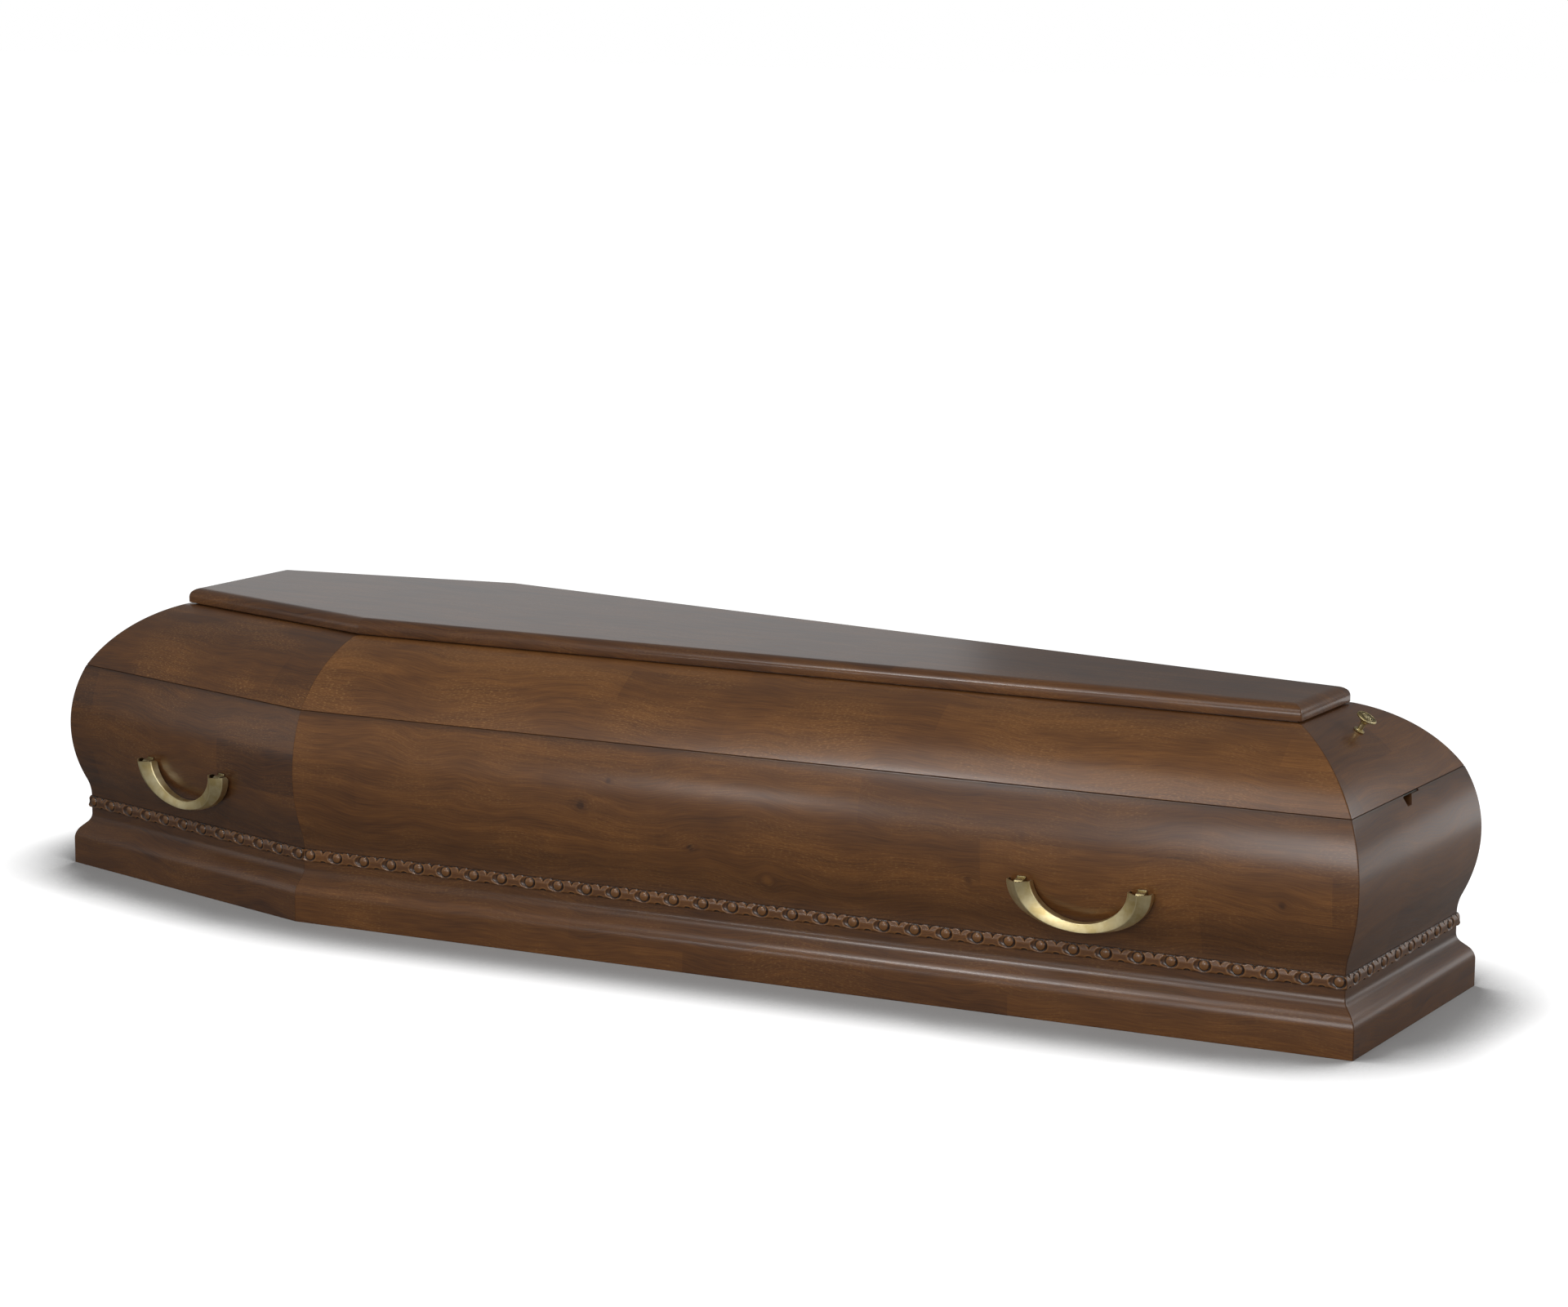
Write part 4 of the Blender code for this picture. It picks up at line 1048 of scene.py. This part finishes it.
def stained_wood(name, seed, tone=0.0, staves=1.0, figure=1.0, pores=1.0, knots=()):
    """Level = staves + growth figure + streaks + blotches - knots, and a higher tone
    makes it darker. Pale pores lie over it in patches. The painted_shade_and_wear attribute runs from
    -1 on a rubbed edge to 1 where shade is painted darkest. The bump is the pores' relief."""
    made, tree, shader = new_material(name)
    grain = add(tree, "UVMap", uv_map="grain")
    place = add(tree, "Mapping", {"Vector": grain, "Location": (seed * 3.17, seed * 1.31, 0)})
    bend = add(tree, "TexNoise", {"Vector": place, "Scale": BENDS_PER_METRE, "Detail": 1.0}, "Color",
               noise_dimensions="2D")
    shift = add(tree, "VectorMath", (bend, (0.5, 0.5, 0.5)), operation="SUBTRACT")
    bent = add(tree, "VectorMath", (shift, (0, BEND_ACROSS, 0), place), operation="MULTIPLY_ADD")
    bent, eyes = knots_in(tree, grain, bent, knots)
    stave = add(tree, "TexBrick", {"Vector": place, "Color1": (0, 0, 0, 1), "Color2": (1, 1, 1, 1),
                                   "Scale": 1.0, "Mortar Size": 0.0, "Bias": 0.0,
                                   "Brick Width": STAVE_LENGTH, "Row Height": STAVE_WIDTH},
                offset=0.37, offset_frequency=2)
    growth = stretched_noise(tree, bent, FIGURE_LENGTH, FIGURE_WIDTH, 3.0, 0.3)
    streak = stretched_noise(tree, bent, STREAK_LENGTH, STREAK_WIDTH, 2.0)
    blotch = stretched_noise(tree, place, BLOTCH_LENGTH, BLOTCH_WIDTH, 2.0)
    pore = stretched_noise(tree, bent, PORE_LENGTH, PORE_WIDTH, 1.0)
    weights = (0.12 * staves, 0.26 * figure, 0.34, 0.20)
    total = weighted_sum(tree, *zip((stave, growth, streak, blotch), weights), (eyes, -0.3))
    middle = sum(weights) / 2 + tone
    level = add(tree, "MapRange", (total, middle - STAIN_SPREAD, middle + STAIN_SPREAD))
    stain = add(tree, "ValToRGB", (level,), stops=STAIN)
    patch = add(tree, "MapRange", (blotch, 0.40, 0.62, 0, 0.36 * pores))
    pale = add(tree, "MapRange", (pore, 0.56, 0.78, 0, patch))
    painted_shade_and_wear = add(tree, "Attribute", (), "Fac", attribute_name="painted_shade_and_wear")
    # Below 0 the attribute is wear, above 0 painted shade.
    rubbed = add(tree, "MapRange", (painted_shade_and_wear, 0, -1, 0, 0.5))
    painted_shade = add(tree, "MapRange", (painted_shade_and_wear, 0, 1, 0, 0.95))
    tint = stain
    for share, hex_value in ((pale, PALE_PORE), (rubbed, RUBBED_WOOD), (painted_shade, PAINTED_SHADE_COLOUR)):
        tint = add(tree, "Mix", {0: share, 6: tint, 7: colour(hex_value)}, 2, data_type="RGBA")
    # Satin lacquer: a broad, soft sheen over a surface that shines little by itself.
    feed(tree, shader, {
        "Base Color": tint,
        "Roughness": add(tree, "MapRange", (streak, 0, 1, 0.42, 0.58)),
        "Normal": add(tree, "Bump", {"Height": pore, "Strength": 0.06, "Distance": 0.0003}),
        "Specular IOR Level": 0.25, "Coat Weight": 0.85, "Coat Roughness": 0.24})
    return made


# %% Dress the wooden pieces
def dress(thing, material, body, *nodes, slot="stained_wood"):
    """Gives a piece its finish, its body and the solids it replaces; the slot is not used."""
    thing.data.materials.clear()
    thing.data.materials.append(material)
    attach(thing, body)
    if nodes:
        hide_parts(*nodes)


def painted_shade_bands(thing, *bands):
    """Painted shade in hollows and under edges: each band is most at its middle
    height, and falls evenly to nothing at half its width above and below."""
    heights = vertex_places(thing)[:, 2]
    paint(thing, "painted_shade_and_wear", sum(most * np.clip(1 - np.abs(heights - middle) / half, 0, 1)
                               for middle, half, most in bands))


def developed(height):
    """Distance round a wall's section from its foot to a height: the straight foot
    and the step to the neck, then the cove's and the belly's arcs."""
    curve = wall_curve(0, max(height, NECK_TOP + 0.01), 40, 80)
    arcs = np.sum(np.linalg.norm(np.diff(curve, axis=0), axis=1))
    return NECK_TOP + WALL_FOOT_INSET - NECK_INSET + float(arcs)


# Distance along the near wall, height, radius and darkness, which is below 0 for a
# pale plug. Two of them stand on the far wall too.
WALL_KNOTS = [(0.449, 0.211, 0.005, 0.9), (0.489, 0.247, 0.004, 0.5), (0.610, 0.170, 0.005, 0.6),
              (0.718, 0.135, 0.008, -0.8), (1.003, 0.169, 0.006, 0.5), (1.417, 0.185, 0.005, 0.6),
              (1.075, 0.235, 0.004, 0.3)]
near_knots = [(s, developed(height), radius, depth) for s, height, radius, depth in WALL_KNOTS]
KNOTS = {"left_foot": near_knots, "right_foot": near_knots[2::3]}
# Painted shade: these tones make the head panels and both ends darker.
PAINTED_SHADE_PANELS = {"left_head": 0.12, "right_head": 0.12, "head_end": 0.08, "foot_end": 0.11}
for side, name in enumerate(SIDES):
    tone = PAINTED_SHADE_PANELS.get(name, 0.0)
    pores = 0.3 if name in ENDS else 1.0
    # Painted shade in the cove and in the ogee's hollow, and a painted shadow under the lid's edge at the split.
    painted_shade_bands(walls[name], (NECK_TOP + 0.005, 0.055, 0.36), (SPLIT_HEIGHT, 0.008, 0.6))
    painted_shade_bands(plinths[name], (PLINTH_HEIGHT - 0.012, 0.022, 0.34))
    # The lids' tone is 0.08 lighter than their wall's: a painted highlight for the broad sheen along the lid.
    looks = {"wall": dict(seed=side + 1, tone=tone, pores=pores, knots=KNOTS.get(name, ())),
             "plinth": dict(seed=side + 11, tone=tone + 0.03, pores=pores),
             "lid": dict(seed=side + 21, tone=tone - 0.08, pores=1.9 * pores),
             "strip": dict(seed=side + 31, tone=tone + 0.06, staves=0, figure=0.5, pores=0.4)}
    for pieces, (kind, look) in zip((walls, plinths, lids, strips), looks.items()):
        wood = stained_wood(f"stained_{kind}_{name}", **look)
        dress(pieces[name], wood, "coffin", f"{kind}_{name}")
dress(board, stained_wood("stained_lid_board", 43, 0.08), "coffin", "lid_board")
print("knots on the near wall:", len(near_knots))

# %% [markdown]
# ## Antique brass
#
# The handles are cast brass, tumbled dark and then brushed back, so the high
# parts are bright and the hollows stay brown. Brushing leaves fine streaks
# along the arm. Metal has no colour of its own under the surface: what it
# shows is the room, tinted by the metal, so the roughness does most of the
# work.

# %% Antique brass
# The brass wears in clouds 17 mm wide. The brush marks are 1 mm apart and 17 mm long:
# real ones are finer, and would not show in the render.
CLOUDS_PER_METRE, MARKS_PER_METRE = 60, 900


def antique_brass(name):
    """The tarnish_and_shade attribute runs from -1 on a rubbed edge to 1 in a dark hollow; on the lugs it is
    painted shade.
    """
    made, tree, shader = new_material(name)
    where = add(tree, "TexCoord", (), "Object")
    cloud = add(tree, "TexNoise", {"Vector": where, "Scale": CLOUDS_PER_METRE, "Detail": 3.0})
    brush = (CLOUDS_PER_METRE, CLOUDS_PER_METRE, MARKS_PER_METRE)
    long_way = add(tree, "Mapping", {"Vector": where, "Scale": brush})
    streaks = add(tree, "TexNoise", {"Vector": long_way, "Scale": 1.0, "Detail": 2.0})
    tarnish_and_shade = add(tree, "Attribute", (), "Fac", attribute_name="tarnish_and_shade")
    worn = add(tree, "MapRange", (cloud, 0.35, 0.7))
    tint = add(tree, "ValToRGB", (worn,), stops=[(0.0, "#d2bd85"), (1.0, "#ecdfb4")])
    rubbed = add(tree, "MapRange", (tarnish_and_shade, 0, -1, 0, 0.6))
    dark = add(tree, "MapRange", (tarnish_and_shade,))
    for share, hex_value in ((rubbed, "#f5e6b8"), (dark, "#3c2e14")):
        tint = add(tree, "Mix", {0: share, 6: tint, 7: colour(hex_value)}, 2, data_type="RGBA")
    feed(tree, shader, {
        "Base Color": tint,
        "Roughness": add(tree, "MapRange", (streaks, 0, 1, 0.34, 0.52)),
        "Normal": add(tree, "Bump", {"Height": streaks, "Strength": 0.05, "Distance": 0.0002}),
        "Metallic": 1.0})
    return made


brass = antique_brass("antique_brass")
for name in HANDLES:
    body = "handle_" + name
    dress(bails[name], brass, body, body, slot="antique_brass")
    for end in "ab":
        dress(pins[name, end], brass, body, slot="antique_brass")
        plate, eye = lugs[name, end]
        # The lugs, under the bails, are darkened evenly: painted shade.
        paint(plate, "tarnish_and_shade", 0.5)
        paint(eye, "tarnish_and_shade", 0.35)
        dress(plate, brass, "coffin", f"lug_{name}_{end}", slot="antique_brass")
        dress(eye, brass, "coffin", slot="antique_brass")
for name in ENDS:
    dress(screws[name], brass, "coffin", "screw_" + name, slot="antique_brass")

# %% [markdown]
# ## Dark steel and raw wood
#
# The nut plates are plain mild steel, oiled, so they are grey with a soft
# shine. The bottom board is unfinished softwood, since nobody sees it: pale and
# matt, with rings along its length. Both keep the frame's own solid.

# %% Steel and the bottom board
def cloudy(name, per_metre, detail, low, high, **looks):
    """Two colours in noise on the piece's own place, so many features per metre
    along each axis."""
    made, tree, shader = new_material(name)
    where = add(tree, "TexCoord", (), "Object")
    place = add(tree, "Mapping", {"Vector": where, "Scale": per_metre})
    cloud = add(tree, "TexNoise", {"Vector": place, "Scale": 1.0, "Detail": detail})
    tint = add(tree, "ValToRGB", (cloud,), stops=[(0.3, low), (0.7, high)])
    feed(tree, shader, {"Base Color": tint, **looks})
    return made


steel = cloudy("mild_steel", (150, 150, 150), 3.0, "#4b4a47", "#73716c", Metallic=1.0, Roughness=0.42)
softwood = cloudy("raw_softwood", (1.5, 70, 70), 4.0, "#a98455", "#c9a878", Roughness=0.65)
for name, material in (("nut_plate_foot_end", steel), ("nut_plate_head_end", steel), ("bottom_board", softwood)):
    solid = bpy.data.objects[name]
    solid.data.materials.clear()
    solid.data.materials.append(material)

# %% [markdown]
# ## Floor and light
#
# The object stands on a pale floor in a white room. Satin lacquer and brass
# only look right with something to reflect, so the light comes from soft
# panels, which give broad sheens: above, in front, at both sides and behind.
# Two small lamps are far brighter, since a narrow gleam needs a small source:
# one draws the line along the lid, the other the one along the belly. Each
# panel's brightness was set by comparing the render with the photograph.

# %% Floor
CONTACT_REACH = 0.2
WHITE = (1, 1, 1, 1)


def seen_and_lit(tree, seen, lit):
    """Picks one shader for what the camera sees directly, another for the rest."""
    return add(tree, "MixShader", (add(tree, "LightPath"), lit, seen))


def floor_sheet():
    """A pale sheet. Exposed for the dark wood it would burn out around the coffin
    and keep only the soft shadow, so the camera sees it brighter than the wood does:
    it glows by the share of open sky, which falls where the coffin stands close, a painted contact shadow."""
    mesh = bpy.data.meshes.new("floor")
    mesh.from_pydata([(-40, -40, 0), (40, -40, 0), (40, 40, 0), (-40, 40, 0)], [], [(0, 1, 2, 3)])
    sheet = bpy.data.objects.new("floor", mesh)
    bpy.context.collection.objects.link(sheet)
    made, tree, _ = new_material("pale_floor")
    tree.nodes.clear()
    open_sky = add(tree, "AmbientOcclusion", {"Distance": CONTACT_REACH}, "AO", samples=16)
    strength = add(tree, "MapRange", (open_sky, 0.70, 0.98, 0, 0.95))
    glow_with_painted_shadow = add(tree, "Emission", {"Color": WHITE, "Strength": strength})
    shaded = add(tree, "BsdfDiffuse", {"Color": (0.5, 0.5, 0.5, 1)})
    lit = add(tree, "BsdfDiffuse", {"Color": (0.30, 0.29, 0.28, 1)})
    surface = seen_and_lit(tree, add(tree, "AddShader", (shaded, glow_with_painted_shadow)), lit)
    feed(tree, tree.nodes.new("ShaderNodeOutputMaterial"), {"Surface": surface})
    mesh.materials.append(made)


floor_sheet()


# %% Lights
def soft_panel(name, place, target, size, radiance):
    """A rectangular area light at a place, turned so that it faces a target. Its
    power is radiance times pi times its area, so resizing it keeps its brightness."""
    light = bpy.data.lights.new(name, "AREA")
    light.shape = "RECTANGLE"
    light.size, light.size_y = size
    light.energy = radiance * pi * size[0] * size[1]
    lamp = bpy.data.objects.new(name, light)
    bpy.context.collection.objects.link(lamp)
    aim = (Vector(target) - Vector(place)).to_track_quat("-Z", "Y")
    lamp.matrix_world = Matrix.Translation(place) @ aim.to_matrix().to_4x4()
    lamp.visible_camera = False


def room(brightness):
    """A dim grey room around, and plain white behind the coffin."""
    world = bpy.data.worlds.new("room")
    world.use_nodes = True
    tree = world.node_tree
    tree.nodes.clear()
    seen = add(tree, "Background", (WHITE, 1.0))
    lit = add(tree, "Background", (WHITE, brightness))
    surface = seen_and_lit(tree, seen, lit)
    feed(tree, tree.nodes.new("ShaderNodeOutputWorld"), {"Surface": surface})
    return world


soft_panel("overhead_panel", (0.2, -1.8, 2.9), (0.6, 0, 0.3), (1.8, 1.0), 1.7)
soft_panel("front_lamp", (-0.45, -2.4, 2.4), (0.8, 0, 0.3), (0.6, 0.5), 19.0)
soft_panel("front_panel", (-0.3, -3.4, 0.6), (0.5, 0, 0.2), (2.2, 0.5), 0.6)
soft_panel("low_lamp", (-0.7, -2.8, 0.7), (0.7, 0, 0.1), (0.22, 0.22), 13.0)
soft_panel("key_panel", (1.0, -3.3, 1.1), (0.4, 0, 0.3), (1.4, 1.0), 5.8)
soft_panel("left_panel", (-2.6, -1.9, 0.8), (0, 0, 0.2), (1.6, 1.4), 0.5)
soft_panel("right_panel", (3.2, -1.5, 0.9), (0.8, 0, 0.2), (1.2, 1.4), 1.8)
soft_panel("back_panel", (-2.1, 2.4, 0.9), (0, 0, 0.3), (2.2, 1.0), 0.42)
soft_panel("side_panel", (2.4, 1.9, 1.5), (1.2, 0.3, 0.3), (1.2, 0.9), 0.5)
soft_panel("low_panel", (1.7, 1.1, 0.13), (1.0, 0.1, 0.12), (2.2, 0.24), 0.9)
soft_panel("floor_panel", (1.9, 0.8, 0.8), (1.5, 0.6, 0), (0.8, 0.6), 4.0)
bpy.context.scene.world = room(0.18)
bpy.context.scene.view_settings.view_transform = "Standard"
print("lights:", len(bpy.data.lights))
